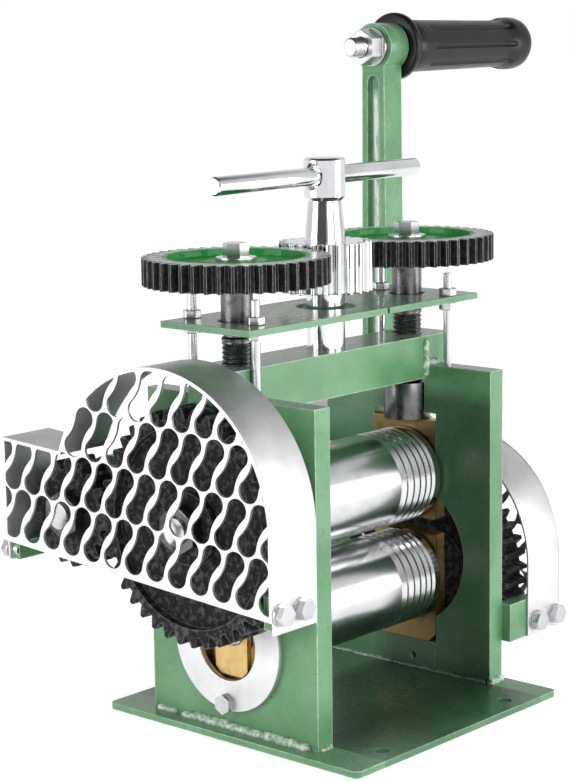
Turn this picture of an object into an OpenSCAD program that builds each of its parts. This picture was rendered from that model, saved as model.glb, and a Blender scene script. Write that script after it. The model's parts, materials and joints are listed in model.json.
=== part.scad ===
// Jewellers rolling mill, hand cranked.
// X runs along the rolls with the crank on the +X side, Y runs from the feeding side to the crank
// shaft, Z is up. The origin is on the underside of the base, straight below the middle of the rolls.

/* [Base] */
// Width of the base plate along the rolls
base_w = 144.4; // [142:0.2:170]
// Depth of the base plate
base_d = 148; // [140:1:180]
// Thickness of the base plate
base_t = 3; // [2:0.5:6]
// How far the base sits to the crank's side of the rolls
base_shift_x = -2.8; // [-3.5:0.1:3]
// How far the base sits behind the rolls
base_shift_y = -5; // [-8:0.5:4]
// Corner radius of the base plate
base_corner_r = 3; // [1:0.5:6]
// Spacing of the foot bolts along the rolls
foot_pitch_x = 88.4; // [70:0.2:92]
// Spacing of the foot bolts front to back
foot_pitch_y = 129; // [120:1:132]
// Radius of the foot bolt holes
foot_hole_r = 3.5; // [2:0.25:4.5]

/* [Side plates] */
// Clear width between the side plates
plate_gap = 113; // [108:0.5:120]
// Thickness of each side plate
plate_t = 9.6; // [8.5:0.1:12]
// Distance from the rolls to the front edge of a side plate
plate_front = 50; // [46:0.5:52]
// Distance from the rolls to the back edge of a side plate
plate_back = 48; // [44:0.5:49]
// Height of the side plates above the table
plate_top = 151; // [149:0.5:156]
// Radius of the ear that carries the crank shaft
ear_r = 22; // [17:0.5:23]
// Width of the slot for the bearing blocks
slot_w = 37.2; // [34:0.2:38]
// Height of the slot floor above the table
slot_floor = 17; // [14:0.5:20]
// Height of the top of the slot
slot_top = 128; // [127.5:0.5:138]
// Width of the block set in under the slot
filler_w = 26.5; // [18:0.5:32]
// Centre of that block, measured back from the rolls
filler_y = -4.75; // [-5:0.25:4]
// Thickness of that block
filler_t = 6; // [4:0.5:7]
// Radius of the small hole in that block
filler_hole_r = 1.8; // [1:0.1:3]
// Radius of the round window in the crank side plate
window_r = 34.7; // [30:0.1:36]
// Height of the middle of that window
window_z = 59.5; // [58:0.5:62]

/* [Rolls] */
// Radius of the rolls
roll_r = 22.35; // [20:0.05:23]
// Length of the roll barrels
roll_len = 110; // [104:0.5:110]
// Gap between the rolls
roll_gap = 4.4; // [4.2:0.1:5]
// Height of the lower roll axis
lower_z = 48.9; // [48:0.1:51]
// Radius of the roll necks inside the bearing blocks
neck_r = 12; // [10:0.25:13]
// Radius of the stubs outside the blocks
stub_r = 8; // [7:0.25:9]
// Number of wire grooves round each roll
groove_count = 6; // [3:1:7]
// Width of the widest wire groove, at the plain side
groove_w = 4; // [3.4:0.1:4.2]
// Width of the narrowest wire groove, at the end of the roll
groove_end_w = 2.4; // [1.5:0.1:3]
// Width of the land between two wire grooves
groove_land = 1.2; // [0.8:0.1:1.4]

/* [Bearing blocks] */
// Width of the bearing blocks
block_w = 37; // [33:0.2:37.8]
// Width of the nose that stands in the retaining ring
nose_w = 19; // [18.2:0.2:24]
// Depth of the nose along the rolls
nose_t = 3; // [2:0.5:4]
// Height of the lower blocks' top
lower_block_top = 70; // [68:0.5:71]
// Height of the upper blocks' underside
upper_block_low = 76.8; // [76:0.2:80]
// Height of the upper blocks' top
upper_block_top = 124.5; // [122:0.5:126]
// Corner chamfer under the lower blocks
block_chamfer = 4; // [1:0.5:6]
// Thickness of the thrust washers beside the rolls
washer_t = 1.2; // [0.6:0.1:1.2]
// Outer radius of the retaining ring
ring_r = 30.8; // [29:0.2:33]
// Radius of the hole in the retaining ring
ring_hole_r = 17; // [14:0.5:18]
// Height of the middle of the retaining ring
ring_z = 42.5; // [41:0.5:45]
// Thickness of the retaining ring
ring_t = 3; // [2:0.5:4]

/* [Beam and top plate] */
// Length of the cross beam
beam_len = 152; // [144:1:156]
// Depth of the cross beam front to back
beam_d = 26; // [25:0.5:30]
// Height of the cross beam's underside
beam_low = 144.5; // [144:0.5:146]
// Height of the cross beam's own section
beam_h = 20; // [18:0.5:22]
// Length of the top plate
cap_len = 158; // [146:1:164]
// Depth of the top plate
cap_d = 52.5; // [50:0.5:60]
// Thickness of the top plate
cap_t = 3; // [2:0.5:4]
// Height of the top plate's upper face
cap_top = 183.5; // [180:0.5:186]
// Radius of the top plate's hole round the spindle
cap_hole_r = 13.4; // [10:0.2:16]
// Radius of the support rods
rod_r = 2; // [1.5:0.1:2.2]
// Height of the top of the support rods
rod_top = 194; // [191:0.5:195]

/* [Roll adjustment] */
// Distance from the spindle to each adjusting screw
screw_x = 58.5; // [57.5:0.1:59.5]
// Radius of the adjusting screws over the thread
screw_r = 7; // [6:0.1:7.5]
// Teeth on each adjusting gear
adjust_teeth = 44; // [40:2:48]
// Teeth on the spindle's pinion
spindle_teeth = 22; // [20:2:24]
// Face width of the adjusting gears
adjust_w = 12; // [10:0.5:12.5]
// Height of the underside of the adjusting gears
adjust_low = 199.5; // [198.5:0.5:201]
// Height of the underside of the spindle's pinion
pinion_low = 190.5; // [188:0.5:192]
// Height of the top of the spindle's pinion
pinion_top = 213; // [212.5:0.5:215]
// Radius of the spindle
spindle_r = 8.65; // [7.5:0.05:9]
// Radius of the spindle's head
spindle_head_r = 9.3; // [8.5:0.1:11]
// Height of the top of the spindle's head
spindle_top = 250; // [247:0.5:256]
// Height of the tee bar
tee_z = 242; // [240:0.5:243]
// Radius of the tee bar
tee_r = 4.1; // [3:0.1:4.5]
// Length of the tee bar to the left of the spindle
tee_left = 75; // [60:1:80]
// Length of the tee bar to the right of the spindle
tee_right = 68; // [60:1:80]
// Angle of the tee bar seen from above
tee_angle = 2.3; // [-10:0.1:10]

/* [Drive] */
// Module of the left pair of drive gears
left_module = 2.5; // [2.45:0.01:2.52]
// Teeth on each large drive gear
drive_teeth = 40; // [40:1:40]
// Teeth on each crank pinion
crank_teeth = 18; // [18:1:18]
// Teeth on the idler of the right train
idler_teeth = 10; // [10:2:10]
// Face width of the drive gears
drive_w = 16; // [12:0.5:16]
// Gap between the left gears and the end of the cross beam
beam_clear = 0.5; // [0.3:0.1:1]
// Distance from a side plate to the right gears
right_gear_off = 10.4; // [9.5:0.1:10.5]
// Height of the crank shaft axis
shaft_z = 94.5; // [94:0.1:96]
// Radius of the crank shaft in its bushes
shaft_r = 8; // [7:0.25:8.5]

/* [Guards] */
// Thickness of the guard sheet
sheet_t = 1.2; // [0.8:0.1:1.5]
// Width of the guard rims
left_rim_w = 28; // [26:0.5:30]
// Width of the right guard rim
right_rim_w = 26; // [25.5:0.5:28]
// Radius of the left guard
left_guard_r = 64; // [60:0.5:66]
// Height of the middle of the left guard's arc
left_guard_z = 104.8; // [103:0.2:105]
// Middle of the left guard's arc, measured back from the rolls
left_guard_y = 2.5; // [1:0.5:3]
// Radius of the right guard
right_guard_r = 56; // [55.5:0.5:58]
// Height of the middle of the right guard's arc
right_guard_z = 57; // [56:0.5:59]
// Rear wall of both guards, measured back from the rolls
guard_rear = 100; // [99.5:0.5:104]
// Distance between neighbouring cells of the grille
cell_pitch = 12.9; // [12.5:0.1:15]
// Distance between rows of cells
cell_row = 22.3; // [22:0.1:25]
// Radius of a cell's round lobes
lobe_r = 4.85; // [3.6:0.05:4.9]
// Slope of the rows of cells in degrees
cell_slope = 3.6; // [0:0.1:5]

/* [Crank] */
// Distance from the shaft to the grip
crank_len = 202; // [180:1:220]
// Thickness of the crank arm
arm_t = 14; // [10:0.5:16]
// Distance from the rolls' middle to the inner face of the crank arm
arm_x = 123; // [121:0.5:126]
// Radius of the crank arm's hub
arm_hub_r = 16; // [13:0.5:18]
// Radius of the crank arm's head
arm_head_r = 12; // [10:0.5:14]
// Length of the hand grip
grip_len = 109; // [90:1:120]
// Radius of the hand grip's barrel
grip_r = 12.5; // [11:0.25:14]
// Radius of the flange at the grip's inner end
grip_flange_r = 17; // [15:0.5:19]

/* [Hidden] */

$fn = 64;
over = 1;
run_fit = 0.05;
seat_fit = 0.02;
slide_fit = 0.1;
thread_fit = 0.1;

// Side plates
plate_in = plate_gap / 2;
plate_out = plate_in + plate_t;
plate_d = plate_front + plate_back;
filler_hole_rise_share = 0.4;
channel_w = 23.6;
rod_seat = 10;
upper_z = lower_z + 2 * roll_r + roll_gap;
left_centres = left_module * (drive_teeth + crank_teeth) / 2;
shaft_y = sqrt(pow(left_centres, 2) - pow(shaft_z - upper_z, 2));
bush_t = 3;
bush_r = shaft_r + bush_t;
bush_flange_r = bush_r + 2;
bush_flange_t = 3;
tube_r = 13;
tube_bore_r = shaft_r + 1.5;

// Rolls
roll_end = roll_len / 2;
block_in = roll_end + washer_t + 2 * run_fit;
block_step = plate_out - nose_t;
washer_r = 20;
neck_gap = 0.3;
neck_end = block_step - neck_gap;
groove_depth_share = 0.5;
groove_edge = 2.6;
groove_fall = (groove_w - groove_end_w) / (groove_count - 1);
stub_chamfer = 0.8;
stub_over = 1.4;
lower_stub_end = plate_out + stub_over;
nose_drop = 21.9;
nose_chamfer = 3;
upper_chamfer = 1;
nut_clear = 0.02;

// Drive
left_gear_x = beam_len / 2 + beam_clear;
left_gear_off = left_gear_x - plate_out;
right_gear_x = plate_out + right_gear_off;
right_centres = norm([shaft_y, shaft_z - lower_z]);
right_module = right_centres / (drive_teeth / 2 + idler_teeth + crank_teeth / 2);
train_angle = atan2(lower_z - shaft_z, -shaft_y);
left_train_angle = atan2(upper_z - shaft_z, -shaft_y);
idler_off = right_module * (crank_teeth + idler_teeth) / 2;
idler_y = shaft_y + idler_off * cos(train_angle);
idler_z = shaft_z + idler_off * sin(train_angle);
drive_pressure = 25;
drive_tip_share = 0.8;
drive_root_share = 1.05;
drive_play_share = 0.05;
adjust_pressure = 20;
adjust_tip_share = 0.9;
adjust_root_share = 1.1;
adjust_play_share = 0.05;
adjust_module = 2 * screw_x / (adjust_teeth + spindle_teeth);
flank_steps = 4;
hub_gap = 0.5;
drive_hub_r = 16;
drive_rim_share = 0.875;
drive_recess = 4;
pinion_hub_r = 11;
drive_nut_r = 11;
drive_nut_h = 6;
thread_r = 6;
thread_over = 1.5;
idler_bolt_r = 4.5;
idler_shank_r = 4;
idler_head_r = 7;
idler_head_t = 3;
idler_hub_r = 7.5;
right_seat_r = shaft_r - 0.5;
arm_seat_r = shaft_r - 1;
spacer_r = arm_seat_r + 3;

// Roll adjustment
foot_r = 9;
foot_h = 6.4;
foot_low = upper_block_top + run_fit;
foot_top = foot_low + foot_h;
collar_r = 11;
collar_h = 17.5;
collar_top = upper_block_top + collar_h;
neck_low = 176;
neck_high = 181;
neck_depth = 1;
screw_top_r = 6;
screw_top = adjust_low + 8.5;
boss_r = 13.8;
adjust_rim_share = 0.76;
adjust_recess = 3;
boss_low = 2;
bolt_washer_r = 8.8;
bolt_washer_t = 1.5;
bolt_head_r = 5.8;
bolt_head_h = 6;
bolt_shank_r = 3;
bolt_shank_len = 10;
spindle_foot_r = 6;
spindle_foot_len = 12;
spindle_waist_r = 7.5;
spindle_shoulder_r = 9.4;
spindle_head_low = 231;
spindle_chamfer = 1;
tee_sink_r = 6.8;
tee_sink_depth = 3;
tee_chamfer = 0.8;

// Top plate and rods
rod_wall = 0.6;
left_rod_x = rod_r + rod_wall - plate_out;
rod_x = plate_in + plate_t / 2;
rod_front_left = -15.3;
rod_front_right = -22;
rod_back_left = 22;
rod_back_right = 18;
rods = [[left_rod_x, rod_front_left], [left_rod_x, rod_back_left], [rod_x, rod_front_right],
    [rod_x, rod_back_right]];
rod_nut_r = 4.2;
rod_nut_h = 3.6;
cap_screw_hole_r = screw_r + 1.3;
slit_w = 1.6;
slit_len = 7;
slit_x = 12;

// Guards
guard_border = 1.5;
ext_top = 126;
ext_slope_share = tan(cell_slope);
left_bottom_front = 70.6;
left_skirt_bottom = 65;
left_rear_bottom = 72;
right_step_y = 22;
right_ext_top = shaft_z + 23.5;
right_ext_low = 62;
right_bottom_front = 26;
right_skirt_bottom = 22;
lobe_y = 3.45;
lobe_z = 6.75;
neck_half = 3.2;
cell_lap = 0.7;
left_cell_y = -0.6;
left_cell_z = 110.8;
right_cell_y = -4;
right_cell_z = 81;
guard_shaft_hole_r = spacer_r + 1.5;
left_rim_gap = 3;
right_rim_gap = 2.5;
left_rim_start = beam_len / 2 + left_rim_gap;
right_rim_start = right_gear_x + right_rim_gap;
left_guard_out = -left_rim_start - left_rim_w;
right_guard_out = right_rim_start + right_rim_w;
bracket_t = 4;
bracket_d = 6;
bracket_tab = 8;
bend_d = 11.5;
left_bracket_low = 66.3;
left_bracket_h = 14;
rear_bracket_low = 72;
rear_bracket_h = 8;
rear_bracket_d = 4.5;
right_bracket_low = 22;
right_bracket_h = 18;
left_front_y = left_guard_y - left_guard_r;
left_front_bolt_z = left_bracket_low + left_bracket_h / 2;
rear_bolt_z = rear_bracket_low + rear_bracket_h / 2;
right_front_bolt_z = 29;
bolt_hole_r = 2.5;
guard_bolt_r = 2.4;
guard_bolt_head_r = 4.6;
guard_bolt_head_h = 3.4;
guard_bolt_washer_r = 4.9;
guard_bolt_washer_t = 1;
guard_bolt_len = 4.2;
bracket_end = sheet_t + 2;
left_bolt_gap = 12.8;
left_bolt_inset = 5.2;
right_bolt_gap = 14.9;
right_bolt_inset = 5;
left_guard_bolt_places = [for (i = [0, 1])
    for (end = [[left_front_y, left_front_bolt_z, 1], [guard_rear, rear_bolt_z, -1]])
        [left_guard_out + left_bolt_inset + i * left_bolt_gap, end[0], end[1], end[2]]];
right_guard_bolt_places = [for (i = [0, 1])
    for (end = [[-right_guard_r, right_front_bolt_z, 1], [guard_rear, rear_bolt_z, -1]])
        [right_guard_out - right_bolt_inset - i * right_bolt_gap, end[0], end[1], end[2]]];
ring_bolt_circle = 27.2;
ring_bolt_head_r = 4.6;
ring_bolt_head_h = 3.6;
ring_bolt_r = 1.6;
ring_bolt_len = 2.8;

// Crank
head_z = shaft_z + crank_len;
arm_low_w = 17;
arm_high_w = 14;
arm_panel_depth = 2.4;
arm_panel_edge = 3.4;
arm_panel_end = 6;
grip_bolt_r = 5;
grip_nut_r = 9.2;
grip_nut_h = 8.4;
grip_bolt_over = 8;
grip_washer_t = 1.6;
grip_washer_r = 9.6;
sleeve_r = 8;
grip_gap = 1;
grip_wall = 5;
grip_head_r = 7.4;
grip_head_h = 3.5;
grip_x = arm_x + arm_t + grip_gap;
grip_end = grip_x + grip_len;
grip_head_x = grip_end - grip_wall - grip_head_h - run_fit;
grip_cavity_share = 1 - grip_wall / grip_len;
grip_neck_r = 11.4;
grip_bulge_r = 14;
grip_shoulder_r = 13.4;
flange_chamfer = 2;
grip_profile = [[0, sleeve_r], [0, grip_flange_r - flange_chamfer], [0.015, grip_flange_r],
    [0.045, grip_flange_r], [0.065, grip_shoulder_r], [0.14, grip_shoulder_r], [0.17, grip_r],
    [0.82, grip_r], [0.85, grip_neck_r], [0.88, grip_bulge_r], [0.95, grip_bulge_r],
    [0.985, grip_r], [1, grip_neck_r], [1, 0], [grip_cavity_share, 0],
    [grip_cavity_share, sleeve_r]];
flute_count = 12;
flute_r = 1.5;
flute_out_share = 0.3;
flute_start = 22;
flute_stop_share = 0.8;

// Polar half angle of a tooth at radius r, for an involute of the given base radius
function inv(a) = tan(a) * 180 / PI - a;
function half_angle(r, base_r, teeth, pressure, play) =
    90 / teeth - play + inv(pressure) - (r > base_r ? inv(acos(base_r / r)) : 0);

// Outline of a spur gear with a tooth centred on the angle turn
function gear_points(teeth, mod, pressure, tip, root, play, turn) = [
    for (k = [0 : teeth - 1])
        for (s = [-1, 1])
            for (i = [0 : flank_steps])
                let (
                    step = s < 0 ? i : flank_steps - i,
                    low = mod * (teeth / 2 - root),
                    high = mod * (teeth / 2 + tip),
                    r = low + (high - low) * step / flank_steps,
                    base_r = mod * teeth / 2 * cos(pressure),
                    half = half_angle(r, base_r, teeth, pressure, play * 180 / PI * 2 / teeth),
                    a = turn + 360 * k / teeth + s * half
                )
                [r * cos(a), r * sin(a)]
];

// Draws a profile of the YZ plane and gives it a thickness along +X from x
module slab(x, t) {
    translate([x, 0, 0])
        rotate([90, 0, 90])
            linear_extrude(t)
                children();
}

// A cylinder along X from x, at the place [y, z]
module bar_x(x, y, z, r, h) {
    translate([x, y, z])
        rotate([0, 90, 0])
            cylinder(r = r, h = h);
}

// A profile of [x, radius] points turned round an axis along X at [y, z]
module turned_x(y, z, points) {
    translate([0, y, z])
        rotate([0, 90, 0])
            rotate_extrude()
                polygon([for (p = points) [p[1], p[0]]]);
}

// A profile of [radius, z] points turned round a vertical axis
module turned_z(x, points) {
    translate([x, 0, 0])
        rotate_extrude()
            polygon(points);
}

module hex_z(r, h) {
    cylinder(r = r, h = h, $fn = 6);
}

module hex_x(x, y, z, r, h) {
    translate([x, y, z])
        rotate([0, 90, 0])
            cylinder(r = r, h = h, $fn = 6);
}

module foot_places() {
    for (sx = [-1, 1])
        for (sy = [-1, 1])
            translate([base_shift_x + sx * foot_pitch_x / 2, base_shift_y + sy * foot_pitch_y / 2])
                children();
}

// The base plate
module base_plate() {
    inner_w = base_w - 2 * base_corner_r;
    inner_d = base_d - 2 * base_corner_r;
    color("seagreen")
        linear_extrude(base_t)
            difference() {
                translate([base_shift_x, base_shift_y])
                    union() {
                        square([base_w, inner_d], center = true);
                        square([inner_w, base_d], center = true);
                        for (sx = [-1, 1])
                            for (sy = [-1, 1])
                                translate([sx * inner_w / 2, sy * inner_d / 2])
                                    circle(r = base_corner_r);
                    }
                foot_places()
                    circle(r = foot_hole_r);
            }
}

// Outline of a side plate with its slot, its notch for the beam and its ear for the crank shaft
module plate_profile() {
    difference() {
        union() {
            translate([-plate_front, base_t])
                square([plate_d, plate_top - base_t]);
            translate([plate_back - over, shaft_z - ear_r])
                square([shaft_y - plate_back + over, 2 * ear_r]);
            translate([shaft_y, shaft_z])
                circle(r = ear_r);
        }
        translate([shaft_y, shaft_z])
            circle(r = bush_r + seat_fit);
        translate([-slot_w / 2, slot_floor])
            square([slot_w, slot_top - slot_floor]);
        translate([-channel_w / 2, slot_top - over])
            square([channel_w, plate_top - slot_top + 2 * over]);
        translate([-beam_d / 2 - seat_fit, beam_low])
            square([beam_d + 2 * seat_fit, plate_top - beam_low + over]);
    }
}

// The pocket under the slot, open to the inner face of the plate on the +X side
module filler_pocket() {
    translate([plate_in - over, filler_y - filler_w / 2 - seat_fit, base_t - over])
        cube([filler_t + over, filler_w + 2 * seat_fit, slot_floor - base_t + 2 * over]);
}

module rod_holes(side) {
    for (p = rods)
        if (p[0] * side > 0)
            translate([p[0], p[1], plate_top - rod_seat])
                cylinder(r = rod_r + seat_fit, h = rod_seat + over);
}

module ring_bolt_places() {
    for (a = [-90, 30, 150])
        translate([0, ring_bolt_circle * cos(a), ring_z + ring_bolt_circle * sin(a)])
            children();
}

// The left side plate
module left_side_plate() {
    color("mediumseagreen")
        difference() {
            slab(-plate_out, plate_t)
                plate_profile();
            mirror([1, 0, 0])
                filler_pocket();
            rod_holes(-1);
            ring_bolt_places()
                bar_x(-plate_out - over, 0, 0, ring_bolt_r + seat_fit, ring_bolt_len + over);
        }
}

// The right side plate, with a round window through which the rolls go in
module right_side_plate() {
    color("mediumseagreen")
        difference() {
            slab(plate_in, plate_t)
                difference() {
                    plate_profile();
                    translate([0, window_z])
                        circle(r = window_r);
                    translate([idler_y, idler_z])
                        circle(r = idler_shank_r + seat_fit);
                }
            filler_pocket();
            rod_holes(1);
        }
}

// The blocks set into the side plates under their slots
module slot_filler_blocks() {
    rise = slot_floor - base_t;
    color("seagreen")
        for (x = [-plate_in - filler_t, plate_in])
            slab(x, filler_t)
                difference() {
                    translate([filler_y - filler_w / 2, base_t])
                        square([filler_w, rise]);
                    translate([filler_y, base_t + rise * filler_hole_rise_share])
                        circle(r = filler_hole_r);
                }
}

// The cross beam with its two screw holes and the seat of the spindle
module cross_beam() {
    color("mediumseagreen")
        difference() {
            translate([-beam_len / 2, -beam_d / 2, beam_low])
                cube([beam_len, beam_d, beam_h]);
            for (s = [-1, 1])
                translate([s * screw_x, 0, beam_low - over])
                    cylinder(r = screw_r + thread_fit, h = beam_h + 2 * over);
            translate([0, 0, beam_low + beam_h - spindle_foot_len])
                cylinder(r = spindle_foot_r + run_fit, h = spindle_foot_len + over);
        }
}

// The thin plate that steadies the screws and the spindle
module top_plate() {
    color("mediumseagreen")
        translate([0, 0, cap_top - cap_t])
            linear_extrude(cap_t)
                difference() {
                    square([cap_len, cap_d], center = true);
                    circle(r = cap_hole_r);
                    for (s = [-1, 1])
                        translate([s * screw_x, 0])
                            circle(r = cap_screw_hole_r);
                    for (p = rods)
                        translate(p)
                            circle(r = rod_r + slide_fit);
                    translate([slit_x, -cap_d / 2 - over])
                        square([slit_w, slit_len + over]);
                }
}

// The four rods that stand in the side plates
module support_rods() {
    color("silver")
        for (p = rods)
            translate([p[0], p[1], plate_top - rod_seat])
                cylinder(r = rod_r, h = rod_top - plate_top + rod_seat);
}

// The nuts over and under the top plate
module rod_nuts() {
    color("lightgray")
        for (p = rods)
            for (z = [cap_top, cap_top - cap_t - rod_nut_h])
                translate([p[0], p[1], z])
                    difference() {
                        hex_z(rod_nut_r, rod_nut_h);
                        translate([0, 0, -over])
                            cylinder(r = rod_r + seat_fit, h = rod_nut_h + 2 * over);
                    }
}

// Height of the sloping lower edge of the left guard at the place y
function left_bottom(y) = left_bottom_front + (y - left_guard_y + left_guard_r) * ext_slope_share;

// Outline of the left guard, drawn in by inset on all sides but the bottom
module left_guard_outline(inset) {
    front = left_guard_y - left_guard_r + inset;
    top_front = ext_top - inset;
    rear = guard_rear - inset;
    union() {
        intersection() {
            translate([left_guard_y, left_guard_z])
                circle(r = left_guard_r - inset, $fn = 128);
            translate([left_guard_y - left_guard_r, left_guard_z])
                square([2 * left_guard_r, left_guard_r]);
        }
        translate([front, left_skirt_bottom])
            square([left_guard_y + left_guard_r - inset - front, left_guard_z - left_skirt_bottom]);
        polygon([[left_guard_y, left_rear_bottom], [rear, left_rear_bottom],
            [rear, top_front + (rear - left_guard_r) * ext_slope_share],
            [left_guard_y, top_front + (left_guard_y - left_guard_r) * ext_slope_share]]);
    }
}

// The part of the left guard above its sloping lower edge, raised by lift
module left_guard_above(lift) {
    low_y = left_guard_y - left_guard_r - over;
    high_y = guard_rear + over;
    polygon([[low_y, left_bottom(low_y) + lift], [high_y, left_bottom(high_y) + lift],
        [high_y, left_guard_z + left_guard_r + over], [low_y, left_guard_z + left_guard_r + over]]);
}

// Outline of the right guard, drawn in by inset on all sides but the bottom
module right_guard_outline(inset, low_inset) {
    union() {
        intersection() {
            translate([0, right_guard_z])
                circle(r = right_guard_r - inset, $fn = 128);
            translate([-right_guard_r, right_guard_z])
                square([2 * right_guard_r, right_guard_r]);
        }
        translate([-right_guard_r + inset, right_skirt_bottom])
            square([2 * (right_guard_r - inset), right_guard_z - right_skirt_bottom]);
        translate([right_step_y + inset, right_ext_low + low_inset])
            square([guard_rear - right_step_y - 2 * inset,
                right_ext_top - right_ext_low - inset - low_inset]);
    }
}

// One bean shaped cell of the grille: two lobes joined by a neck with hollow sides
module cell() {
    lean = atan2(lobe_y, lobe_z);
    span = norm([lobe_y, lobe_z]);
    waist_r = (pow(span, 2) + pow(neck_half, 2) - pow(lobe_r, 2)) / (lobe_r - neck_half) / 2;
    side = waist_r + neck_half;
    rotate(lean) {
        for (s = [-1, 1])
            translate([0, s * span])
                circle(r = lobe_r, $fn = 32);
        difference() {
            square([2 * side, 2 * span * waist_r / (waist_r + lobe_r) + cell_lap], center = true);
            for (s = [-1, 1])
                translate([s * side, 0])
                    circle(r = waist_r, $fn = 32);
        }
    }
}

// Rows of cells round the place [y, z]; a cell is drawn where keep says so
module cell_rows(y, z, cols, rows) {
    translate([y, z])
        rotate(cell_slope)
            for (j = rows)
                for (i = [cols[j - rows[0]][0] : cols[j - rows[0]][1]])
                    translate([i * cell_pitch, j * cell_row])
                        cell();
}

// The perforated face of the left guard
module left_guard_face() {
    color("gainsboro")
        slab(left_guard_out, sheet_t)
            difference() {
                intersection() {
                    left_guard_outline(0);
                    left_guard_above(0);
                }
                intersection() {
                    cell_rows(left_cell_y, left_cell_z, [[-5, 8], [-5, 8], [-5, 5], [-4, 3]],
                        [-1, 0, 1, 2]);
                    left_guard_outline(guard_border);
                    left_guard_above(guard_border);
                }
            }
}

// The bent strip round the left guard
module left_guard_rim() {
    inner_front = left_front_y + sheet_t;
    color("whitesmoke")
        difference() {
            slab(left_guard_out + sheet_t, left_rim_w - sheet_t)
                difference() {
                    left_guard_outline(0);
                    left_guard_outline(sheet_t);
                    translate([inner_front, left_skirt_bottom - over])
                        square([guard_rear - sheet_t - inner_front,
                            left_rear_bottom - left_skirt_bottom + over]);
                }
            guard_bolt_holes(left_guard_bolt_places, bolt_hole_r, 2 * over);
        }
}

// Height of the sloping lower edge of the right guard at the place y
function right_bottom(y) = right_bottom_front + (y + right_guard_r) * ext_slope_share;

// The part of the right guard above its sloping lower edge, raised by lift
module right_guard_above(lift) {
    low_y = -right_guard_r - over;
    high_y = guard_rear + over;
    polygon([[low_y, right_bottom(low_y) + lift], [high_y, right_bottom(high_y) + lift],
        [high_y, right_ext_top + over], [low_y, right_ext_top + over]]);
}

// The perforated face of the right guard, with a hole for the crank shaft
module right_guard_face() {
    color("gainsboro")
        slab(right_guard_out - sheet_t, sheet_t)
            difference() {
                intersection() {
                    right_guard_outline(0, 0);
                    right_guard_above(0);
                }
                difference() {
                    intersection() {
                        cell_rows(right_cell_y, right_cell_z, [[-5, 5], [-5, 5], [-5, 8], [-3, 8]],
                            [-2, -1, 0, 1]);
                        right_guard_outline(guard_border, guard_border);
                        right_guard_above(guard_border);
                    }
                    translate([shaft_y, shaft_z])
                        circle(r = guard_shaft_hole_r + guard_border);
                }
                translate([shaft_y, shaft_z])
                    circle(r = guard_shaft_hole_r);
            }
}

// The bent strip round the right guard
module right_guard_rim() {
    color("whitesmoke")
        difference() {
            slab(right_rim_start, right_rim_w - sheet_t)
                difference() {
                    right_guard_outline(0, 0);
                    right_guard_outline(sheet_t, sheet_t);
                }
            guard_bolt_holes(right_guard_bolt_places, bolt_hole_r, 2 * over);
        }
}

// A hole or a shank along Y at each place [x, y, z, direction], of radius r and depth h
module guard_bolt_holes(places, r, h) {
    for (p = places)
        translate([p[0], p[1], p[2]])
            rotate([-90 * p[3], 0, 0])
                translate([0, 0, -over])
                    cylinder(r = r, h = h + over);
}

// A bar from the side plate to the guard, behind its front or rear wall, with a leg on the plate
module guard_bracket(side, far, wall_y, dir, depth, low, height, leg_y) {
    near = plate_out;
    y_low = dir > 0 ? wall_y : wall_y - depth;
    leg_low = min(leg_y, y_low);
    leg_high = max(leg_y, y_low + depth);
    scale([side, 1, 1]) {
        translate([near, y_low, low])
            cube([far - near, depth, height]);
        translate([near, leg_low, low])
            cube([bracket_t, leg_high - leg_low, height]);
    }
}

// The front bracket of the left guard, bent back from the front wall to the side plate
module bent_bracket() {
    wall = left_front_y + sheet_t;
    far = left_guard_out + bracket_end;
    leg = -plate_out - bracket_t;
    leg_end = bracket_tab - plate_front;
    translate([0, 0, left_bracket_low])
        linear_extrude(left_bracket_h)
            polygon([[far, wall], [-left_rim_start, wall], [-plate_out, wall + bend_d],
                [-plate_out, leg_end], [leg, leg_end], [leg, wall + bend_d + bracket_t],
                [-left_rim_start, wall + bracket_d], [far, wall + bracket_d]]);
}

// The brackets of the left guard
module left_guard_brackets() {
    color("seagreen")
        difference() {
            union() {
                bent_bracket();
                guard_bracket(-1, -left_guard_out - bracket_end, guard_rear - sheet_t, -1,
                    rear_bracket_d, rear_bracket_low, rear_bracket_h, plate_back - bracket_tab);
            }
            guard_bolt_holes(left_guard_bolt_places, guard_bolt_r + seat_fit, guard_bolt_len + over);
        }
}

// The brackets of the right guard
module right_guard_brackets() {
    color("seagreen")
        difference() {
            union() {
                guard_bracket(1, right_guard_out - bracket_end, -right_guard_r + sheet_t, 1,
                    bracket_d, right_bracket_low, right_bracket_h, bracket_tab - plate_front);
                guard_bracket(1, right_guard_out - bracket_end, guard_rear - sheet_t, -1,
                    rear_bracket_d, rear_bracket_low, rear_bracket_h, shaft_y - bracket_tab);
            }
            guard_bolt_holes(right_guard_bolt_places, guard_bolt_r + seat_fit, guard_bolt_len + over);
        }
}

// The hexagon bolts that hold the guards to their brackets
module guard_bolts() {
    color("lightgray")
        for (p = concat(left_guard_bolt_places, right_guard_bolt_places))
            translate([p[0], p[1], p[2]])
                rotate([-90 * p[3], 0, 0]) {
                    cylinder(r = guard_bolt_r, h = guard_bolt_len);
                    translate([0, 0, -guard_bolt_washer_t])
                        cylinder(r = guard_bolt_washer_r, h = guard_bolt_washer_t);
                    translate([0, 0, -guard_bolt_washer_t - guard_bolt_head_h])
                        hex_z(guard_bolt_head_r, guard_bolt_head_h);
                }
}

// The ring that keeps the lower left bearing in its slot
module retaining_ring() {
    color("whitesmoke")
        difference() {
            slab(-plate_out - ring_t, ring_t)
                translate([0, ring_z])
                    difference() {
                        circle(r = ring_r);
                        circle(r = ring_hole_r);
                    }
            ring_bolt_places()
                bar_x(-plate_out - ring_t - over, 0, 0, ring_bolt_r + slide_fit, ring_t + 2 * over);
        }
}

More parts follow.
